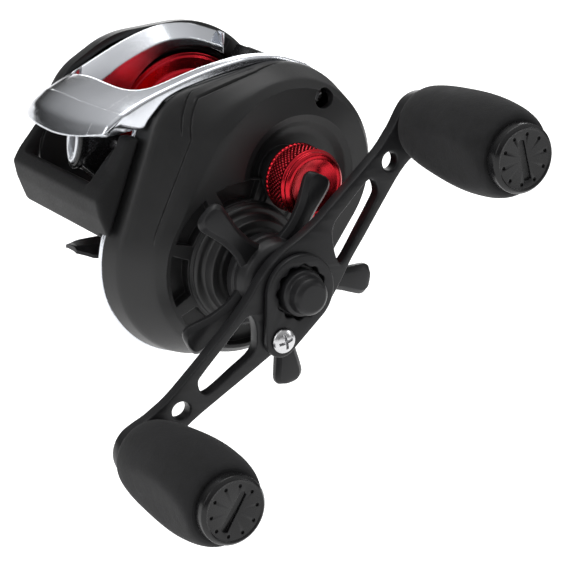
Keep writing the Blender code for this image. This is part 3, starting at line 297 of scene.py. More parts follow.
BRASS = surface("brass_cut", (0.55, 0.36, 0.13), (0.24, 0.36), 1.0, (0.66, 0.46, 0.2),
                (0.85, 0.68, 0.36), 2600.0, 0.002, 150.0, 0.1)
CARBON = surface("carbon_woven", (0.012, 0.012, 0.013), (0.3, 0.5), 0.1, (0.04, 0.04, 0.042),
                 (0.07, 0.07, 0.07), 900.0, 0.01, 1400.0, 0.1)
CERAMIC = surface("ceramic_polished", (0.62, 0.64, 0.68), (0.06, 0.12), 0.5, (0.7, 0.72, 0.75),
                  (0.9, 0.9, 0.92), 3000.0, 0.001, 200.0, 0.15)
FOAM = foam_surface()

FINISHES = {
    "graphite": BLACK,
    "black_metal": BLACK_METAL,
    "satin_chrome": CHROME,
    "red_metal": RED,
    "steel": STEEL,
    "brass": BRASS,
    "foam": FOAM,
    "black_plastic": GLOSS_BLACK,
    "carbon": CARBON,
    "ceramic": CERAMIC,
}


def body_name(node):
    """The body that a CAD node rides on."""
    for name, nodes in frame["record"]["behaviour"]["bodies"].items():
        if node in nodes:
            return name
    return "frame"


def paint_cad_nodes():
    for thing in frame["nodes"].values():
        for slot in thing.material_slots:
            base = slot.material.name.split(".")[0]
            slot.material = FINISHES.get(base, BLACK)


make_studio()
paint_cad_nodes()

# ---------------------------------------------------------------- shape helpers


def circle(radius, count=96, centre=(0.0, 0.0), start=0.0, sweep=2 * math.pi):
    """Points on a circle, or on an arc with both of its ends."""
    steps = count if sweep >= 2 * math.pi else count - 1
    angles = [start + sweep * i / steps for i in range(count)]
    return [(centre[0] + radius * math.cos(a), centre[1] + radius * math.sin(a)) for a in angles]


def around(circles, count=180):
    """The outline of a band stretched round several (y, z, radius) circles."""
    points = []
    for i in range(count):
        angle = 2 * math.pi * (i + 0.5) / count
        normal = Vector((math.cos(angle), math.sin(angle)))
        y, z, radius = max(circles, key=lambda c: c[0] * normal.x + c[1] * normal.y + c[2])
        points.append((y + radius * normal.x, z + radius * normal.y))
    return points


def shrunk(circles, amount):
    return [(y, z, radius - amount) for y, z, radius in circles]


def grown(outline, amount):
    """Move each edge of a counter-clockwise outline outwards by about the amount."""
    moved = []
    for before, point, after in zip(outline[-1:] + outline[:-1], outline, outline[1:] + outline[:1]):
        first = (Vector(point) - Vector(before)).normalized()
        second = (Vector(after) - Vector(point)).normalized()
        normal = Vector((first.y + second.y, -first.x - second.x)).normalized()
        stretch = 1 / max(0.5, normal.dot(Vector((first.y, -first.x))))
        moved.append((point[0] + normal.x * amount * stretch, point[1] + normal.y * amount * stretch))
    return moved


def turned(outline, angle):
    c, s = math.cos(angle), math.sin(angle)
    return [(c * y - s * z, s * y + c * z) for y, z in outline]


def millimetres(*points):
    return [tuple(value * MM for value in point) for point in points]


def curved(points, steps=6, closed=False):
    """A smooth line through the points."""
    count = len(points)
    line = []
    for i in range(count if closed else count - 1):
        if closed:
            four = [points[(i + k) % count] for k in (-1, 0, 1, 2)]
        else:
            four = [points[min(count - 1, max(0, i + k))] for k in (-1, 0, 1, 2)]
        p0, p1, p2, p3 = (Vector(p) for p in four)
        for step in range(steps):
            t = step / steps
            place = 0.5 * (2 * p1 + (p2 - p0) * t + (2 * p0 - 5 * p1 + 4 * p2 - p3) * t ** 2
                           + (3 * p1 - p0 - 3 * p2 + p3) * t ** 3)
            line.append(tuple(place))
    if not closed:
        line.append(tuple(points[-1]))
    return line


def rounded(points, amount, closed=False):
    """Replace each sharp corner of a line with a small curve."""
    count = len(points)
    line = []
    for i, point in enumerate(points):
        if not closed and i in (0, count - 1):
            line.append(tuple(point))
            continue
        here = Vector(point)
        before = Vector(points[i - 1]) - here
        after = Vector(points[(i + 1) % count]) - here
        reach = min(amount, 0.42 * before.length, 0.42 * after.length)
        if reach < 1e-6 or before.angle(-after, 0.0) < math.radians(14):
            line.append(tuple(point))
            continue
        start = here + before.normalized() * reach
        end = here + after.normalized() * reach
        for t in (0.0, 0.25, 0.5, 0.75, 1.0):
            line.append(tuple(start * (1 - t) ** 2 + 2 * here * t * (1 - t) + end * t ** 2))
    return line


def mesh_of(bm, name):
    bmesh.ops.remove_doubles(bm, verts=bm.verts, dist=0.004 * MM)
    bmesh.ops.recalc_face_normals(bm, faces=bm.faces)
    mesh = bpy.data.meshes.new(name)
    bm.to_mesh(mesh)
    bm.free()
    return mesh


def lathe(name, axis, profile, soften=0.2, steps=96, ring=False, shape=None):
    """Turn (x, radius) points about an axis along X; shape can change a radius by angle and x."""
    points = rounded(profile, soften * MM, ring)
    bm = bmesh.new()
    rings = []
    for x, radius in points:
        if radius < 1e-7:
            rings.append([bm.verts.new((x, axis[0], axis[1]))] * steps)
            continue
        verts = []
        for i in range(steps):
            angle = 2 * math.pi * i / steps
            reach = shape(radius, angle, x) if shape else radius
            place = (x, axis[0] + reach * math.cos(angle), axis[1] + reach * math.sin(angle))
            verts.append(bm.verts.new(place))
        rings.append(verts)
    pairs = list(zip(rings, rings[1:]))
    if ring:
        pairs.append((rings[-1], rings[0]))
    for lower, upper in pairs:
        for i in range(steps):
            j = (i + 1) % steps
            corners = list(dict.fromkeys((lower[i], lower[j], upper[j], upper[i])))
            if len(corners) > 2:
                bm.faces.new(corners)
    return add(name, mesh_of(bm, name))


def bore(name, axis, x_range, radius, steps=96):
    """A plain cylinder, to carve a hole with or to fuse on as a boss."""
    low, high = x_range
    return lathe(name, axis, [(high, 0), (high, radius), (low, radius), (low, 0)], 0, steps)


def plate(name, outline, x_range, holes=(), soften=0.25, axis=(0.0, 0.0)):
    """Extrude a flat outline of (y, z) points between two x planes, with rounded edges."""
    low, high = x_range
    curve = bpy.data.curves.new(name, 'CURVE')
    curve.dimensions = '2D'
    curve.fill_mode = 'BOTH'
    curve.bevel_depth = soften * MM
    curve.bevel_resolution = 2
    curve.offset = -soften * MM
    curve.extrude = (high - low) / 2 - soften * MM
    for loop in (outline, *holes):
        spline = curve.splines.new('POLY')
        spline.points.add(len(loop) - 1)
        for point, (y, z) in zip(spline.points, loop):
            point.co = (y, z, 0, 1)
        spline.use_cyclic_u = True
    guide = add(name + "_outline", curve)
    graph = bpy.context.evaluated_depsgraph_get()
    mesh = bpy.data.meshes.new_from_object(guide.evaluated_get(graph))
    bpy.data.objects.remove(guide, do_unlink=True)
    bm = bmesh.new()
    bm.from_mesh(mesh)
    for vert in bm.verts:
        y, z, x = vert.co
        vert.co = (x + (low + high) / 2, y + axis[0], z + axis[1])
    return add(name, mesh_of(bm, name))


def loft(name, sections):
    """Skin matching (x, outline) sections and close both ends."""
    bm = bmesh.new()
    rings = [[bm.verts.new((x, y, z)) for y, z in outline] for x, outline in sections]
    count = len(rings[0])
    for lower, upper in zip(rings, rings[1:]):
        for i in range(count):
            j = (i + 1) % count
            bm.faces.new((lower[i], lower[j], upper[j], upper[i]))
    bm.faces.new(rings[0][::-1])
    bm.faces.new(rings[-1])
    return add(name, mesh_of(bm, name))


def settle(part):
    """Apply the part's modifiers to its mesh."""
    graph = bpy.context.evaluated_depsgraph_get()
    mesh = bpy.data.meshes.new_from_object(part.evaluated_get(graph))
    part.modifiers.clear()
    part.data = mesh
    return part


def carve(part, *others, operation='DIFFERENCE'):
    """Boolean other objects into a part and throw them away."""
    for other in others:
        change = part.modifiers.new("carve", 'BOOLEAN')
        change.operation = operation
        change.object = other
        change.solver = 'EXACT'
        settle(part)
        bpy.data.objects.remove(other, do_unlink=True)
    return part


def fuse(part, *others):
    return carve(part, *others, operation='UNION')


def soften_edges(part, width, angle=38.0, segments=2):
    edge = part.modifiers.new("rounded_edges", 'BEVEL')
    edge.width = width * MM
    edge.segments = segments
    edge.limit_method = 'ANGLE'
    edge.angle_limit = math.radians(angle)
    edge.use_clamp_overlap = True
    return settle(part)


def show(part, material, *nodes, slot=None, sharp=32.0):
    """Finish a piece: paint it, put it on the nodes' body and let it stand for them."""
    part.data.materials.clear()
    part.data.materials.append(material)
    part.data.shade_smooth()
    part.data.set_sharp_from_angle(angle=math.radians(sharp))
    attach(part, body_name(nodes[0]))
    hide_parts(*nodes)
    return part


# ------------------------------------------------------------------------- hood

HOOD_TOP = millimetres((-41.7, 28.7), (-41.0, 31.0), (-40.0, 33.2), (-37.4, 36.1), (-36.6, 36.6),
                       (-31.5, 39.3), (-25.0, 41.9), (-15.0, 45.2), (-6.0, 47.4), (0.0, 48.2),
                       (6.0, 48.1), (13.5, 46.2))
RAIL_UNDER = millimetres((13.0, 44.4), (6.0, 45.6), (0.0, 45.7), (-6.0, 44.9), (-16.5, 42.4),
                         (-24.3, 39.6), (-26.5, 37.9), (-29.1, 34.6), (-31.3, 31.4), (-37.5, 32.2))
HOOD_MIDDLE = 2.0 * MM
HOOD_HALF_WIDTH = 22.5 * MM
HOOD_LENGTH = 41.0 * MM
HOOD_BASE = 28.0 * MM
NEAR_RAIL_WIDTH = 3.1 * MM
WINDOW_FRONT = -30.0 * MM
WINDOW_CURVE = 10.0 * MM
HOOD_LIFT = 4.6 * MM
HOOD_LIFT_HEIGHT = 9.0 * MM
FAR_EDGE = 2.0 * MM
NEAR_EDGE = 0.8 * MM
EDGE_SHARES = (0.0, 0.03, 0.1, 0.22, 0.4, 0.65)
PLATE_CIRCLES = millimetres((5.0, 23.3, 19.6), (-22.0, 19.3, 10.0), (-7.0, 12.6, 14.0))
GEAR_PLATE_CIRCLES = PLATE_CIRCLES + millimetres((-4.3, 3.0, 12.0))
TRIM_HOLE_CIRCLES = millimetres((5.0, 23.3, 18.0), (-4.3, 3.0, 10.5), (-21.0, 18.5, 8.0))
FRAME_RADIUS = 19.6 * MM
PALM_BORE = 18.6 * MM
GAP = 0.3 * MM


def spaced(low, high, count):
    return [low + (high - low) * i / (count - 1) for i in range(count)]


def hood_section(x, outline):
    """The side view at x: towards each side the lip falls back, the top sinks and the edge lifts."""
    aside = (x - HOOD_MIDDLE) / HOOD_HALF_WIDTH
    sink = 0.6 * aside ** 2 if aside < 0 else 0.12 * aside ** 2
    section = []
    for y, z in outline:
        forward = max(0.0, -y / HOOD_LENGTH)
        back = 6.5 * MM * abs(aside) ** 2.2 * forward
        low = max(0.0, 1 - (z - HOOD_BASE) / HOOD_LIFT_HEIGHT)
        lift = HOOD_LIFT * max(0.0, aside) ** 2 * forward ** 2 * low
        section.append((y + back, HOOD_BASE + (z - HOOD_BASE) * (1 - sink * forward ** 2) + lift))
    return section[::-1]


def hood_loft(name, stations, outline, extra=0.0, low=None, high=None):
    """Skin the hood's side view over the stations, rounding over towards the given outer planes."""
    sections = []
    for x in stations:
        inset = 0.0
        for edge, size in ((low, FAR_EDGE), (high, NEAR_EDGE)):
            if edge is not None and abs(x - edge) < size:
                near = 1 - abs(x - edge) / size
                inset = 0.75 * size * (1 - math.sqrt(1 - near ** 2))
        sections.append((x, grown(hood_section(x, outline), extra - inset)))
    return loft(name, sections)


def squared(value):
    """Turns a circle's coordinate into that of a rounded square."""
    return math.copysign(abs(value) ** 0.6, value)


def make_hood():
    top = curved(HOOD_TOP, 5)
    under = circle(FRAME_RADIUS + GAP, 40, SPOOL_AXIS, math.radians(64), math.radians(90))
    front_under = millimetres((-21.0, 31.4), (-29.5, 30.6), (-36.0, 28.6))
    far = PALM_PLATE[0]
    stations = [far + FAR_EDGE * share for share in EDGE_SHARES]
    stations += spaced(far + FAR_EDGE, GEAR_PLATE[1], 40)
    part = hood_loft("hood_shell", stations, top + under + front_under, low=far)
    near = [GEAR_PLATE[1] - 1.0 * MM, GEAR_PLATE[1] + 0.5 * MM]
    near += [HOOD_NEAR - NEAR_EDGE * share for share in (1.0, *EDGE_SHARES[::-1])]
    fuse(part, hood_loft("hood_rail", near, top + curved(RAIL_UNDER, 5), high=HOOD_NEAR))
    inner = (-16.0 * MM, 12.6 * MM)
    hollow = millimetres((-38.9, 20.0), (-38.9, 30.4), (-37.8, 33.2), (-35.6, 35.0), (-30.6, 37.6),
                         (-24.0, 40.0), (-10.0, 30.0), (-10.0, 20.0))
    carve(part, hood_loft("hood_hollow", spaced(*inner, 24), hollow))
    carve(part, hood_window(inner))
    for low, high in (PALM_PLATE, GEAR_PLATE):
        room = grown(around(PLATE_CIRCLES), GAP)
        carve(part, plate("hood_plate_room", room, (low - GAP, high + GAP), soften=0.0))
    carve(part, far_slope())
    return show(part, CHROME, "hood")


def hood_window(inner):
    """The line window: straight sides and a rounded front, cut down through the hood."""
    side = HOOD_NEAR - NEAR_RAIL_WIDTH
    middle = (inner[0] + side) / 2
    half_width = (side - inner[0]) / 2
    front = []
    for x, y in circle(1.0, 49, (0, 0), math.pi, math.pi):
        front.append((middle + half_width * squared(x), WINDOW_FRONT + WINDOW_CURVE * (1 + squared(y))))
    outline = front + [(side, 25.0 * MM), (inner[0], 25.0 * MM)]
    window = plate("hood_window", outline, (25.0 * MM, 55.0 * MM), soften=0.0)
    for vertex in window.data.vertices:
        z, x, y = vertex.co
        vertex.co = (x, y, z)
    return window


def far_slope():
    """What is cut away so that the far rail's inner face leans back to its top edge."""
    upper = curved(millimetres((-36.0, 37.0), (-31.5, 39.3), (-25.0, 41.9), (-15.0, 45.2), (-6.0, 47.4),
                               (0.0, 48.2), (6.0, 48.1), (13.5, 46.2)), 6)
    lower = curved(millimetres((-25.0, 32.5), (-22.6, 34.6), (-19.6, 37.0), (-14.5, 40.2), (-6.0, 43.6),
                               (0.0, 44.9), (6.0, 44.8), (13.5, 42.8)), 6)
    sections = []
    for share in spaced(0.0, 1.06, 12):
        x = (-19.7 + 3.8 * share) * MM
        edge = [(a[0] + (b[0] - a[0]) * share, a[1] + (b[1] - a[1]) * share) for a, b in zip(upper, lower)]
        outside = [(a[0] - 2.0 * MM, a[1] + 5.0 * MM) for a in upper]
        sections.append((x, hood_section(x, edge + outside[::-1])))
    return loft("far_slope", sections)


def rail_room(name, low):
    outline = curved(HOOD_TOP, 5) + curved(RAIL_UNDER, 5)
    return hood_loft(name, [low, GEAR_PLATE[1], HOOD_NEAR + GAP], outline, GAP)


# ----------------------------------------------------------------------- covers

RIM_CIRCLES = millimetres((5.0, 23.3, 24.2), (-14.5, 29.5, 13.4), (-10.5, 3.0, 23.5), (-4.3, 3.0, 22.8))
SHOULDER_CIRCLES = millimetres((5.3, 23.3, 23.9), (-13.6, 29.2, 12.8), (-9.5, 3.0, 23.0), (-4.3, 3.0, 22.6))
FACE_CIRCLES = millimetres((6.5, 23.0, 21.6), (-6.8, 26.4, 11.4), (-5.6, 3.2, 21.0), (-4.3, 3.0, 21.2))
CREST_CIRCLES = millimetres((6.8, 22.8, 20.0), (-5.0, 25.0, 10.0), (-4.8, 3.2, 19.6), (-4.3, 3.0, 19.8))
PALM_CIRCLES = millimetres((5.0, 23.3, 25.0), (-6.0, 25.4, 21.2), (-13.0, 27.0, 15.8), (-15.0, 20.0, 14.0))
CAST_WELL = (8.2 * MM, 22.2 * MM)
COVER_SCREW_AXIS = (13.0 * MM, 40.2 * MM)
COVER_WALL = 1.7 * MM
COVER_FACE = 29.2 * MM
COVER_SETS = (RIM_CIRCLES, SHOULDER_CIRCLES, FACE_CIRCLES, CREST_CIRCLES)
COVER_PLANES = (COVER_RIM, 21.5 * MM, 27.6 * MM, COVER_FACE)
HOUSING_END = 34.2 * MM
POCKETS = 6
POCKET_OUTER = 19.0 * MM
POCKET_INNER = 14.6 * MM
TRIM = (15.9 * MM, 17.1 * MM)
BEARING_SEAT = 33.2 * MM


def between(values, along):
    """A value part of the way along a list of numbers or of circle sets."""
    index = min(len(values) - 2, int(along))
    share = along - index
    first, second = values[index], values[index + 1]
    if isinstance(first, float):
        return first * (1 - share) + second * share
    return [tuple(a * (1 - share) + b * share for a, b in zip(p, q)) for p, q in zip(first, second)]


def cover_loft(name, shrink, planes, steps=24):
    """The cover's outer form, with its shoulders rounded over."""
    sections = []
    for i in range(steps + 1):
        along = (len(planes) - 1) * i / steps
        blur = min(0.05, along, len(planes) - 1 - along)
        spots = [along - blur, along, along + blur]
        x = sum(between(planes, spot) for spot in spots) / 3
        outlines = [around(shrunk(between(COVER_SETS, spot), shrink)) for spot in spots]
        outline = [(sum(p[0] for p in trio) / 3, sum(p[1] for p in trio) / 3) for trio in zip(*outlines)]
        sections.append((x, outline))
    return loft(name, sections)


def drum_pocket(middle):
    """One of the pockets in the cover's face round the drum, between two ribs."""
    half = math.radians(18.5)
    outer = circle(POCKET_OUTER, 17, DRIVE_AXIS, middle - half, 2 * half)
    inner = circle(POCKET_INNER, 17, DRIVE_AXIS, middle - half + 0.04, 2 * half - 0.08)
    outline = rounded(outer + inner[::-1], 1.2 * MM, True)
    return plate("drum_pocket", outline, (26.5 * MM, 34.0 * MM), soften=0.0)


def flow_line(start, end):
    """A shallow groove over the cover's flank, from one (share, degrees) place on it to another."""
    count = 24
    rings = []
    bm = bmesh.new()
    for i in range(count + 1):
        along = i / count
        share = start[0] + (end[0] - start[0]) * along
        angle = math.radians(start[1] + (end[1] - start[1]) * along)
        x = between(COVER_PLANES, share)
        y, z = around(between(COVER_SETS, share), 360)[round(math.degrees(angle)) % 360]
        width = 0.55 * MM * math.sin(math.pi * along) ** 0.5
        outward = Vector((0.5, math.cos(angle), math.sin(angle))).normalized()
        side = outward.cross(Vector((0.0, -math.sin(angle), math.cos(angle)))).normalized()
        place = Vector((x, y, z))
        corners = (outward * 1.5 * MM + side * 3 * width, outward * 1.5 * MM - side * 3 * width,
                   outward * -width)
        rings.append([bm.verts.new(place + corner) for corner in corners])
    for lower, upper in zip(rings, rings[1:]):
        for k in range(3):
            bm.faces.new((lower[k], lower[(k + 1) % 3], upper[(k + 1) % 3], upper[k]))
    bm.faces.new(rings[0])
    bm.faces.new(rings[-1][::-1])
    return add("flow_line", mesh_of(bm, "flow_line"))


def make_handle_side_cover():
    planes = COVER_PLANES
    inner_planes = (COVER_RIM - 1.0 * MM, 21.2 * MM, 26.4 * MM, COVER_FACE - COVER_WALL)
    part = cover_loft("cover_shell", 0.0, planes)
    carve(part, cover_loft("cover_cavity", COVER_WALL, inner_planes, 9))
    fuse(part, lathe("cast_cup", CAST_WELL, millimetres((28.7, 0), (28.7, 16.6), (25.2, 12.6), (25.2, 0))))
    carve(part, lathe("cast_well", CAST_WELL, [
        (31.0 * MM, 0), (31.0 * MM, 15.5 * MM), (COVER_FACE, 14.6 * MM), (28.6 * MM, 12.9 * MM),
        (28.2 * MM, 12.4 * MM), (27.3 * MM, 11.2 * MM), (26.9 * MM, 10.0 * MM), (26.9 * MM, 0)], 0.5))
    fuse(part, bore("pocket_floor", DRIVE_AXIS, (25.6 * MM, 28.4 * MM), POCKET_OUTER + 0.3 * MM))
    carve(part, bore("drum_hole", DRIVE_AXIS, (20 * MM, 40 * MM), 9 * MM),
          bore("sleeve_hole", SPOOL_AXIS, (20 * MM, 40 * MM), 5.65 * MM))
    drum = lathe("cover_drum", DRIVE_AXIS, [
        (HOUSING_END, 9.6 * MM), (HOUSING_END, 11.3 * MM), (31.7 * MM, 11.8 * MM), (31.2 * MM, 12.3 * MM),
        (31.2 * MM, 13.4 * MM), (30.6 * MM, 13.9 * MM), (30.2 * MM, 13.9 * MM), (30.0 * MM, 13.5 * MM),
        (29.5 * MM, 13.5 * MM), (29.3 * MM, 14.0 * MM), (28.4 * MM, 14.4 * MM), (26.0 * MM, 14.4 * MM),
        (26.0 * MM, 7.1 * MM), (BEARING_SEAT, 7.1 * MM), (BEARING_SEAT, 4.7 * MM), (33.6 * MM, 4.7 * MM),
        (33.6 * MM, 8.4 * MM)], 0.3, ring=True)
    sleeve = lathe("cast_sleeve", SPOOL_AXIS, millimetres(
        (36.6, 6.1), (24.4, 6.1), (24.4, 5.2), (33.4, 5.2), (33.4, 3.2), (36.6, 3.2)), 0.15, ring=True)
    fuse(part, drum, sleeve)
    for i in range(POCKETS):
        carve(part, drum_pocket(math.radians(100 + 45 * i)))
    carve(part, rail_room("cover_rail_room", 14.0 * MM))
    carve(part, flow_line((1.02, 88), (1.9, 168)), flow_line((1.02, 106), (1.6, 160)))
    carve(part, bore("screw_pocket", COVER_SCREW_AXIS, (COVER_FACE - 6 * MM, 34 * MM), 2.4 * MM),
          bore("screw_hole", COVER_SCREW_AXIS, (15 * MM, 30 * MM), 1.3 * MM))
    soften_edges(part, 0.3, 44.0, 2)
    return show(part, BLACK, "handle_side_cover")


def make_palm_side_cover():
    rim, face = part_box("palm_side_cover")[1].x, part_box("palm_side_cover")[0].x

    def dome(shrink, low, high, steps):
        sections = []
        for i in range(steps + 1):
            angle = math.pi / 2 * i / steps
            inset = 7.6 * MM * (1 - math.cos(angle)) ** 1.15
            x = low + (high - low) * math.sin(angle)
            sections.append((x, around(shrunk(PALM_CIRCLES, inset + shrink))))
        return loft("palm_dome", sections)

    part = dome(0.0, rim, face, 20)
    carve(part, dome(COVER_WALL, rim + 1.0 * MM, face + COVER_WALL, 10))
    fuse(part, bore("palm_boss", SPOOL_AXIS, (-28.5 * MM, -23 * MM), 6.6 * MM))
    carve(part, bore("palm_bore", SPOOL_AXIS, (-26.7 * MM, -22 * MM), 5.2 * MM),
          bore("dial_well", SPOOL_AXIS, (-32 * MM, -28.4 * MM), 9.4 * MM))
    soften_edges(part, 0.35, 44.0, 2)
    return show(part, BLACK, "palm_side_cover")


def make_trim():
    outer = around([(y, z, radius + 0.3 * MM) for y, z, radius in RIM_CIRCLES])
    part = plate("trim_rim", outer, TRIM, [around(TRIM_HOLE_CIRCLES)], 0.3)
    carve(part, rail_room("trim_rail_room", 14.0 * MM))
    return show(part, CHROME, "gear_case_trim")


def make_frame():
    bores = [circle(PALM_BORE, 96, SPOOL_AXIS)]
    low = plate("frame_shell", around(PLATE_CIRCLES), PALM_PLATE, bores, 0.2)
    holes = [circle(5.5 * MM, 64, SPOOL_AXIS), circle(3.3 * MM, 48, DRIVE_AXIS)]
    high = plate("frame_gear_side", around(GEAR_PLATE_CIRCLES), GEAR_PLATE, holes, 0.35)
    deck = plate("frame_deck", millimetres((-22, 3.2), (19, 3.2), (19, 4.7), (-20, 4.7)),
                 (PALM_PLATE[0] + GAP, GEAR_PLATE[0] + 0.5 * MM), soften=0.3)
    bar = plate("frame_bar", millimetres((-29.4, 12.2), (-24.5, 9.9), (-24.5, 13.6), (-28.6, 14.8)),
                (PALM_PLATE[0] + GAP, GEAR_PLATE[1] - GAP), soften=0.3)
    fuse(low, high, deck, bar)
    return show(low, BLACK, "main_frame")


def from_cad(node, width, angle=30.0, segments=3):
    """A CAD node's own form with its flat faces merged and its edges rounded."""
    bm = bmesh.new()
    bm.from_mesh(frame["nodes"][node].data)
    bmesh.ops.remove_doubles(bm, verts=bm.verts, dist=0.004 * MM)
    bmesh.ops.dissolve_limit(bm, angle_limit=math.radians(1.5), verts=bm.verts, edges=bm.edges)
    return soften_edges(add(node + "_shell", mesh_of(bm, node)), width, angle, segments)


def make_nose():
    """The nose's own form with all its edges rounded off, as a moulding."""
    part = from_cad("nose_guard", 0.2, 25.0, 1)
    even = part.modifiers.new("even", 'REMESH')
    even.mode = 'VOXEL'
    even.voxel_size = 0.4 * MM
    smooth = part.modifiers.new("smooth", 'SMOOTH')
    smooth.factor = 0.5
    smooth.iterations = 16
    return show(settle(part), MATT_BLACK, "nose_guard", slot="graphite", sharp=80.0)


def make_thumb_pieces():
    start, end = math.radians(-42), math.radians(62)
    outer = circle(24.0 * MM, 60, SPOOL_AXIS, start, end - start)
    inner = circle(FRAME_RADIUS + 0.5 * MM, 60, SPOOL_AXIS, start, end - start)
    rest = plate("rest_shell", outer + inner[::-1], (PALM_PLATE[0], GEAR_PLATE[1]), soften=0.3)
    wide = circle(27.2 * MM, 30, SPOOL_AXIS, math.radians(27), math.radians(50))
    narrow = circle(FRAME_RADIUS - 1 * MM, 30, SPOOL_AXIS, math.radians(27), math.radians(50))
    carve(rest, plate("rest_opening", wide + narrow[::-1], (-17.4 * MM, 12.4 * MM), soften=0.0))
    soften_edges(rest, 0.35, 50.0, 2)
    show(rest, BLACK, "thumb_rest")
    sweep = math.radians(21)
    start = math.radians(50) - sweep / 2
    outer = circle(23.6 * MM, 30, SPOOL_AXIS, start, sweep)
    inner = circle(17.4 * MM, 30, SPOOL_AXIS, start, sweep)
    bar = plate("bar_shell", outer + inner[::-1], (-15.4 * MM, 10.4 * MM), soften=0.8)
    ribs = []
    for i in range(5):
        angle = start + sweep * (i + 1) / 6
        centre = circle(23.75 * MM, 1, SPOOL_AXIS, angle)[0]
        rib = millimetres((7, 0), (7, 0.4), (-12, 0.4), (-12, 0))
        ribs.append(lathe("bar_rib_%d" % i, centre, rib, 0.1, 16))
    carve(bar, *ribs)
    show(bar, GLOSS_BLACK, "thumb_bar", slot="graphite", sharp=40.0)


# ------------------------------------------------------------------ turned pieces


def triangle_wave(value):
    share = value % 1.0
    return 2 * min(share, 1 - share)


def knurled(low, high, count, pitch, depth):
    """Diamond knurling between two x planes."""
    def shape(radius, angle, x):
        if not low < x < high:
            return radius
        turns = count * angle / (2 * math.pi)
        slide = x / pitch
        height = min(triangle_wave(turns + slide), triangle_wave(turns - slide))
        fade = min(1.0, (x - low) / (0.3 * MM), (high - x) / (0.3 * MM))
        return radius - depth * (1 - height) * fade
    return shape


def make_spool():
    part = lathe("spool_shell", SPOOL_AXIS, millimetres(
        (12.6, 18.2), (11.6, 18.2), (11.3, 17.2), (11.1, 15.6), (10.7, 15.0), (10.3, 13.2), (9.6, 11.4),
        (9.0, 10.6), (8.0, 10.0), (-13.4, 10.0), (-14.2, 10.3), (-14.8, 11.0), (-15.1, 12.2),
        (-15.6, 12.6), (-15.9, 13.8), (-16.4, 14.3), (-16.6, 17.1), (-16.9, 17.4), (-17.0, 18.2),
        (-18.0, 18.2), (-18.0, 17.0), (-17.5, 14.6), (-15.6, 9.2), (-6.0, 8.8), (-5.0, 2.3), (5.0, 2.3),
        (6.0, 8.8), (10.2, 9.2), (12.1, 14.6), (12.6, 17.0)), 0.25, 128, ring=True)
    return show(part, RED, "spool")


def make_cast_cap():
    low, high = 32.9 * MM, 38.7 * MM
    rows = [(x, 7.85 * MM) for x in spaced(high, low, 36)]
    profile = millimetres(
        (38.9, 0), (38.95, 2.4), (39.2, 2.9), (39.7, 4.4), (40.3, 5.5), (40.6, 6.0), (40.6, 6.8),
        (40.1, 7.4), (39.5, 7.4), (39.3, 7.6), (39.0, 7.9))
    profile += rows
    profile += millimetres((32.6, 7.9), (32.0, 7.5), (32.0, 6.5), (38.3, 6.5), (38.3, 0))
    knurl = knurled(low, high, 48, 1.3 * MM, 0.28 * MM)
    part = lathe("cast_cap_shell", SPOOL_AXIS, profile, 0.12, 384, shape=knurl)
    return show(part, RED, "cast_control_cap", sharp=50.0)


def make_star():
    part = lathe("star_shell", DRIVE_AXIS, millimetres(
        (45.4, 0), (45.4, 6.6), (44.9, 8.0), (43.8, 8.9), (41.8, 9.5), (40.6, 9.5), (40.3, 9.2),
        (39.7, 9.2), (39.4, 9.5), (37.2, 9.5), (36.4, 8.8), (36.4, 0)), 0.4)
    for i in range(5):
        angle = math.radians(68.5) + 2 * math.pi * i / 5
        rows = curved([(5.5, 3.6, 38.6, 42.2), (9.0, 3.2, 40.2, 42.9), (12.6, 2.5, 41.0, 43.4),
                       (17.0, 2.5, 41.0, 43.6), (20.5, 3.1, 41.0, 43.6), (23.2, 3.5, 41.0, 43.4),
                       (24.6, 2.9, 41.1, 43.2), (25.1, 1.6, 41.3, 42.9)], 4)
        outward = Vector((0, math.cos(angle), math.sin(angle)))
        sideways = Vector((0, -math.sin(angle), math.cos(angle)))
        bm = bmesh.new()
        rings = []
        for reach, half, low, high in rows:
            section = ((-half, low + 0.5), (-half + 0.4, low), (half - 0.4, low), (half, low + 0.5),
                       (half, high - 0.9), (half - 1.1, high), (-half + 1.1, high), (-half, high - 0.9))
            centre = Vector((0, *DRIVE_AXIS)) + outward * reach * MM
            rings.append([bm.verts.new(centre + sideways * side * MM + Vector((x * MM, 0, 0)))
                          for side, x in section])
        for lower, upper in zip(rings, rings[1:]):
            for k in range(8):
                bm.faces.new((lower[k], lower[(k + 1) % 8], upper[(k + 1) % 8], upper[k]))
        bm.faces.new(rings[0])
        bm.faces.new(rings[-1][::-1])
        fuse(part, add("star_arm_%d" % i, mesh_of(bm, "star_arm")))
    carve(part, bore("star_hole", DRIVE_AXIS, (30 * MM, 50 * MM), 3.3 * MM))
    soften_edges(part, 0.22, 34.0, 2)
    return show(part, BLACK_METAL, "star_drag")


# ------------------------------------------------------------------------- crank

SCREW_ON_ARM = (-10.3 * MM, -4.4 * MM)
ARM_HALF_WIDTHS = ((0.0, 9.4), (4.0, 9.0), (9.0, 7.8), (14.0, 6.7), (20.0, 6.0), (28.0, 5.0), (36.0, 4.2),
                   (41.0, 4.6), (45.0, 5.8))
ARM_SLOT = ((12.2, -5.0), (11.4, -3.4), (13.0, -0.3), (16.1, 2.7), (22.0, 2.6), (28.6, 2.1), (30.2, 0.6),
            (29.2, -2.0), (27.0, -2.8), (20.0, -3.9))


def arm_outline():
    upper = curved([(along * MM, half * MM) for along, half in ARM_HALF_WIDTHS], 5)
    tip = circle(6.4 * MM, 33, (CRANK_REACH, 0), math.radians(100), math.radians(-200))
    lower = [(along, -half) for along, half in upper[:0:-1]]
    side = upper + tip + lower
    return (side + turned(side, math.pi))[::-1]


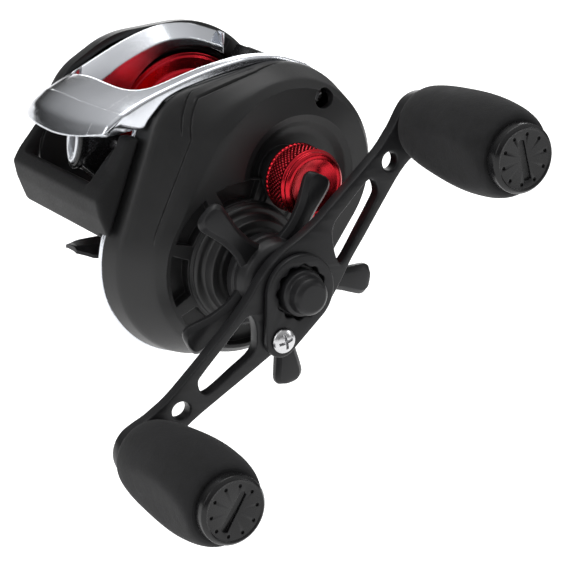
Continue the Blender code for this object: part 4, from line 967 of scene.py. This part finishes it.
def make_arm():
    slot = curved(millimetres(*ARM_SLOT), 4, True)
    hole = circle(2.1 * MM, 32, (36.0 * MM, 0))
    spindle_hole = circle(2.3 * MM, 32, (CRANK_REACH, 0))
    holes = [circle(2.7 * MM, 40), circle(1.5 * MM, 24, SCREW_ON_ARM)]
    for half_turn in (0.0, math.pi):
        holes += [turned(loop, half_turn) for loop in (slot, hole, spindle_hole)]
    part = plate("arm_shell", turned(arm_outline(), CRANK_ANGLE), (ARM_FACE - 3.0 * MM, ARM_FACE),
                 [turned(loop, CRANK_ANGLE) for loop in holes], 0.45, DRIVE_AXIS)
    start, end = 11.0 * MM, 40.0 * MM
    bm = bmesh.new()
    bm.from_mesh(part.data)
    for reach in spaced(start, end, 10):
        for half_turn in (0.0, math.pi):
            angle = CRANK_ANGLE + half_turn
            normal = Vector((0, math.cos(angle), math.sin(angle)))
            bmesh.ops.bisect_plane(bm, geom=bm.verts[:] + bm.edges[:] + bm.faces[:],
                                   plane_co=Vector((0, *DRIVE_AXIS)) + normal * reach, plane_no=normal)
    for vertex in bm.verts:
        reach = math.hypot(vertex.co.y - DRIVE_AXIS[0], vertex.co.z - DRIVE_AXIS[1])
        along = min(1.0, max(0.0, (reach - start) / (end - start)))
        vertex.co.x -= CRANK_OFFSET * along
    bm.to_mesh(part.data)
    bm.free()
    return show(part, BLACK_METAL, "handle_arm", sharp=25.0)


def make_crank_fasteners():
    screw = turned([SCREW_ON_ARM], CRANK_ANGLE)[0]
    screw_axis = (DRIVE_AXIS[0] + screw[0], DRIVE_AXIS[1] + screw[1])
    face = ARM_FACE
    nut = lathe("nut_shell", DRIVE_AXIS, [
        (57.9 * MM, 0), (57.9 * MM, 3.1 * MM), (57.5 * MM, 3.7 * MM), (56.9 * MM, 4.2 * MM),
        (54.6 * MM, 4.3 * MM), (54.3 * MM, 5.0 * MM), (54.0 * MM, 5.2 * MM), (face + GAP, 5.2 * MM),
        (face + GAP, 2.7 * MM),
        (55.0 * MM, 2.7 * MM), (55.0 * MM, 0)], 0.5)
    show(nut, BLACK_METAL, "handle_nut", sharp=40.0)
    teardrop = around([(0, 0, 8.5 * MM), (*screw, 4.0 * MM)], 160)
    scallops = []
    for i in range(96):
        angle = 2 * math.pi * i / 96
        radius = (6.0 + 0.32 * math.cos(12 * angle)) * MM
        scallops.append((radius * math.cos(angle), radius * math.sin(angle)))
    retainer = plate("retainer_shell", teardrop, (face + GAP, face + 2.0 * MM),
                     [scallops, circle(1.5 * MM, 32, screw)], 0.4, DRIVE_AXIS)
    show(retainer, BLACK_METAL, "nut_retainer")
    head = lathe("screw_shell", screw_axis, [
        (face + 3.6 * MM, 0), (face + 3.55 * MM, 1.0 * MM), (face + 3.3 * MM, 1.9 * MM),
        (face + 2.9 * MM, 2.6 * MM), (face + 2.6 * MM, 2.8 * MM), (face + 2.3 * MM, 2.8 * MM),
        (face + 2.3 * MM, 1.2 * MM),
        (face - 2.4 * MM, 1.2 * MM), (face - 2.4 * MM, 0)], 0.2, 64)
    for angle in (math.radians(20), math.radians(110)):
        slot = turned(millimetres((-1.75, -0.32), (1.75, -0.32), (1.75, 0.32), (-1.75, 0.32)), angle)
        depth = (face + 2.5 * MM, face + 4.5 * MM)
        carve(head, plate("screw_slot", slot, depth, soften=0.0, axis=screw_axis))
    soften_edges(head, 0.08, 50.0, 2)
    show(head, STEEL, "retainer_screw")


def knob_axis(half_turn):
    centre = turned([(CRANK_REACH, 0)], CRANK_ANGLE + half_turn)[0]
    return (DRIVE_AXIS[0] + centre[0], DRIVE_AXIS[1] + centre[1])


GRIP_SHAPE = ((0.0, 7.2), (0.012, 7.9), (0.04, 8.5), (0.12, 9.15), (0.22, 9.7), (0.35, 10.2), (0.48, 10.6),
              (0.6, 10.8), (0.72, 10.75), (0.85, 10.35), (0.93, 9.8), (0.97, 9.3), (0.99, 8.8), (1.0, 8.2))


def make_grip(name, half_turn, facing):
    """A foam grip, barrel shaped, with an oval flat shaved on two of its sides."""
    axis = knob_axis(half_turn)
    low, high = (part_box("knob_grip_" + name)[i].x for i in (0, 1))
    profile = curved([(low + (high - low) * along, radius * MM) for along, radius in GRIP_SHAPE[::-1]], 5)
    profile += [(low, 4.7 * MM), (high, 4.7 * MM)]

    def shaved(radius, angle, x):
        if radius < 6.0 * MM:
            return radius
        along = (x - low) / (high - low)
        reach = radius
        for side in (0.0, math.pi):
            facing_share = math.cos(angle - facing - side)
            flat = (9.0 + 1.5 * (along - 0.5) ** 2) * MM
            if facing_share > 0.2:
                limit = flat / facing_share
                blend = 0.35 * MM
                gap = (limit - reach) / blend
                reach = reach - blend * math.log1p(math.exp(min(30.0, -gap)))
        return reach

    part = lathe("grip_" + name, axis, profile, 0.15, 128, ring=True, shape=shaved)
    show(part, FOAM, "knob_grip_" + name, slot="foam", sharp=60.0)
    return part


def make_knob_cap(name, half_turn, tilt):
    axis = knob_axis(half_turn)
    low, high = (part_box("knob_cap_" + name)[i].x for i in (0, 1))
    base = high - 3.2 * MM
    part = lathe("cap_" + name, axis, [
        (high - 0.25 * MM, 0), (high - 0.25 * MM, 6.5 * MM), (high, 6.7 * MM), (high, 7.0 * MM),
        (high - 0.7 * MM, 7.65 * MM), (base, 7.65 * MM), (base, 3.1 * MM), (low, 3.1 * MM), (low, 0)], 0.18)
    dots = []
    for i in range(10):
        angle = tilt + 2 * math.pi * (i + 0.5) / 10
        centre = circle(5.5 * MM, 1, axis, angle)[0]
        dots.append(bore("cap_dot", centre, (high - 0.8 * MM, high + 1 * MM), 0.42 * MM, 20))
    groove = millimetres((-4.6, -1.0), (4.2, -0.7), (4.6, 0.1), (4.2, 0.9), (-4.6, 1.0), (-4.9, 0.0))
    cut_planes = (high - 1.0 * MM, high + 1.0 * MM)
    carve(part, *dots, plate("cap_groove", turned(groove, tilt), cut_planes, soften=0.0, axis=axis))
    soften_edges(part, 0.12, 50.0, 2)
    return show(part, GLOSS_BLACK, "knob_cap_" + name)


# -------------------------------------------------------------- guide, dial, foot

GUIDE_CENTRE = 1.0 * MM
EYE_HEIGHT = 26.0 * MM
WORM_AXIS = (-20.3 * MM, 16.3 * MM)
GUIDE_ROD_AXIS = (-26.0 * MM, 25.3 * MM)
EYE_PLANES = (-34.4 * MM, -32.2 * MM)


def face_forward(part):
    """Turn a plate made square to X so that it lies square to Y."""
    for vertex in part.data.vertices:
        x, y, z = vertex.co
        vertex.co = (-y, x, z)
    part.data.update()
    return part


def oval(half_width, half_height, count=64):
    angles = [2 * math.pi * i / count for i in range(count)]
    return [(half_width * math.cos(angle) - GUIDE_CENTRE, half_height * math.sin(angle) + EYE_HEIGHT)
            for angle in angles]


def make_guide():
    front = (-31.4 * MM, 21.6 * MM, 1.8 * MM)
    outline = around([(*WORM_AXIS, 4.3 * MM), (*GUIDE_ROD_AXIS, 3.0 * MM), front], 90)
    part = plate("guide_shell", outline, (GUIDE_CENTRE - 3.3 * MM, GUIDE_CENTRE + 3.3 * MM), soften=0.5)
    fuse(part, face_forward(plate("eye_rim", oval(3.6 * MM, 6.6 * MM), EYE_PLANES, soften=0.4)))
    eye_planes = (EYE_PLANES[0] - 1.0 * MM, EYE_PLANES[1] + 0.6 * MM)
    bores = [face_forward(plate("eye_hole", oval(2.7 * MM, 5.6 * MM), eye_planes, soften=0.0))]
    for axis, radius in ((WORM_AXIS, 2.8 * MM), (GUIDE_ROD_AXIS, 1.5 * MM)):
        bores.append(bore("guide_bore", axis, (-10 * MM, 10 * MM), radius, 40))
    carve(part, *bores)
    show(part, GLOSS_BLACK, "line_guide")
    ring_planes = (EYE_PLANES[0] - 0.5 * MM, EYE_PLANES[1] - 0.3 * MM)
    ring = face_forward(plate("ring_shell", oval(2.4 * MM, 5.3 * MM), ring_planes,
                              [oval(1.5 * MM, 4.3 * MM)], 0.35))
    show(ring, CERAMIC, "guide_ring")


def make_worm():
    """The level-wind worm, with its crossed right- and left-hand grooves."""
    low, high = -17.0 * MM, 12.4 * MM

    def grooved(radius, angle, x):
        if not low < x < high or radius < 2.2 * MM:
            return radius
        depth = 0.0
        for hand in (1, -1):
            across = ((x / (6.0 * MM) + hand * angle / (2 * math.pi)) % 1.0 - 0.5) * 6.0 * MM
            depth = max(depth, 0.7 * MM * max(0.0, 1 - abs(across) / (0.9 * MM)))
        return radius - depth

    profile = millimetres((19.4, 0), (19.4, 0.9), (16.6, 0.9), (16.6, 2.0), (13.0, 2.0))
    profile += [(x, 2.5 * MM) for x in spaced(12.8 * MM, -17.6 * MM, 110)]
    profile += millimetres((-17.8, 1.6), (-20.2, 1.6), (-20.2, 0))
    part = lathe("worm_shell", WORM_AXIS, profile, 0.1, 72, shape=grooved)
    return show(part, STEEL, "worm_shaft", sharp=45.0)


def make_brake_dial():
    outline = []
    for i in range(240):
        angle = 2 * math.pi * i / 240
        radius = (8.55 + 0.3 * max(-0.6, math.cos(20 * angle))) * MM
        outline.append((radius * math.cos(angle), radius * math.sin(angle)))
    part = plate("dial_shell", outline, (-30.4 * MM, -28.7 * MM), soften=0.3, axis=SPOOL_AXIS)
    dish = lathe("dial_dish", SPOOL_AXIS, millimetres(
        (-30.0, 0), (-30.0, 5.0), (-30.2, 6.6), (-31.0, 7.2), (-31.0, 0)), 0.2)
    marks = [dish]
    for i in range(11):
        angle = math.radians(-135 + 27 * i)
        mark = turned(millimetres((6.9, -0.14), (7.9, -0.14), (7.9, 0.14), (6.9, 0.14)), angle)
        marks.append(plate("dial_mark", mark, (-31.0 * MM, -30.25 * MM), soften=0.0, axis=SPOOL_AXIS))
    carve(part, *marks)
    soften_edges(part, 0.1, 50.0, 2)
    return show(part, GLOSS_BLACK, "brake_dial")


def make_foot():
    """The foot plate, thinning towards both tips, with rounded edges."""
    half_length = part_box("reel_foot")[1].y
    bm = bmesh.new()
    rings = []
    count = 61
    for i in range(count):
        y = half_length * (2 * i / (count - 1) - 1)
        along = abs(y) / half_length
        half_width = (6.9 - 2.2 * along ** 2) * MM * (1 - 0.45 * max(0.0, along - 0.9) / 0.1)
        drop = 1.5 * MM * (half_width / (6.9 * MM)) ** 2
        top = (1.1 + 1.8 * max(0.0, 1 - along ** 3)) * MM
        flat = 2.6 * MM * min(1.0, half_width / (4.7 * MM))
        section = [(-half_width, -drop), (-flat, 0.0), (flat, 0.0), (half_width, -drop),
                   (half_width, 0.8 * MM - drop), (flat, top), (-flat, top), (-half_width, 0.8 * MM - drop)]
        rings.append([bm.verts.new((x, y, z)) for x, z in section])
    for lower, upper in zip(rings, rings[1:]):
        size = len(lower)
        for k in range(size):
            bm.faces.new((lower[k], lower[(k + 1) % size], upper[(k + 1) % size], upper[k]))
    bm.faces.new(rings[0])
    bm.faces.new(rings[-1][::-1])
    part = add("foot_shell", mesh_of(bm, "foot_shell"))
    for y in (-15.0 * MM, 15.0 * MM):
        for radius, low, high in ((1.5 * MM, -1 * MM, 4 * MM), (2.5 * MM, -1 * MM, 1 * MM)):
            hole = bore("foot_bore", (0.0, 0.0), (low, high), radius, 40)
            for vertex in hole.data.vertices:
                x, across, along = vertex.co
                vertex.co = (across, y + along, x)
            carve(part, hole)
    soften_edges(part, 0.3, 30.0, 3)
    return show(part, BLACK_METAL, "reel_foot")


def make_cover_screw():
    part = lathe("cover_screw_shell", COVER_SCREW_AXIS, millimetres(
        (26.0, 0), (25.9, 1.0), (25.5, 1.8), (25.0, 2.1), (24.5, 2.1), (24.5, 1.0), (17.6, 1.0),
        (17.6, 0)), 0.15, 48)
    for angle in (0.3, 0.3 + math.pi / 2):
        slot = turned(millimetres((-1.3, -0.25), (1.3, -0.25), (1.3, 0.25), (-1.3, 0.25)), angle)
        carve(part, plate("slot", slot, (25.2 * MM, 27 * MM), soften=0.0, axis=COVER_SCREW_AXIS))
    return show(part, STEEL, "cover_screw")


make_hood()
make_trim()
make_handle_side_cover()
make_palm_side_cover()
make_frame()
make_nose()
make_thumb_pieces()
make_spool()
make_cast_cap()
make_star()
make_arm()
make_crank_fasteners()
for knob_name, knob_turn, knob_tilt in (("upper", 0.0, 1.9), ("lower", math.pi, 1.1)):
    make_grip(knob_name, knob_turn, math.radians(20))
    make_knob_cap(knob_name, knob_turn, knob_tilt)
make_guide()
make_worm()
make_brake_dial()
make_foot()
make_cover_screw()
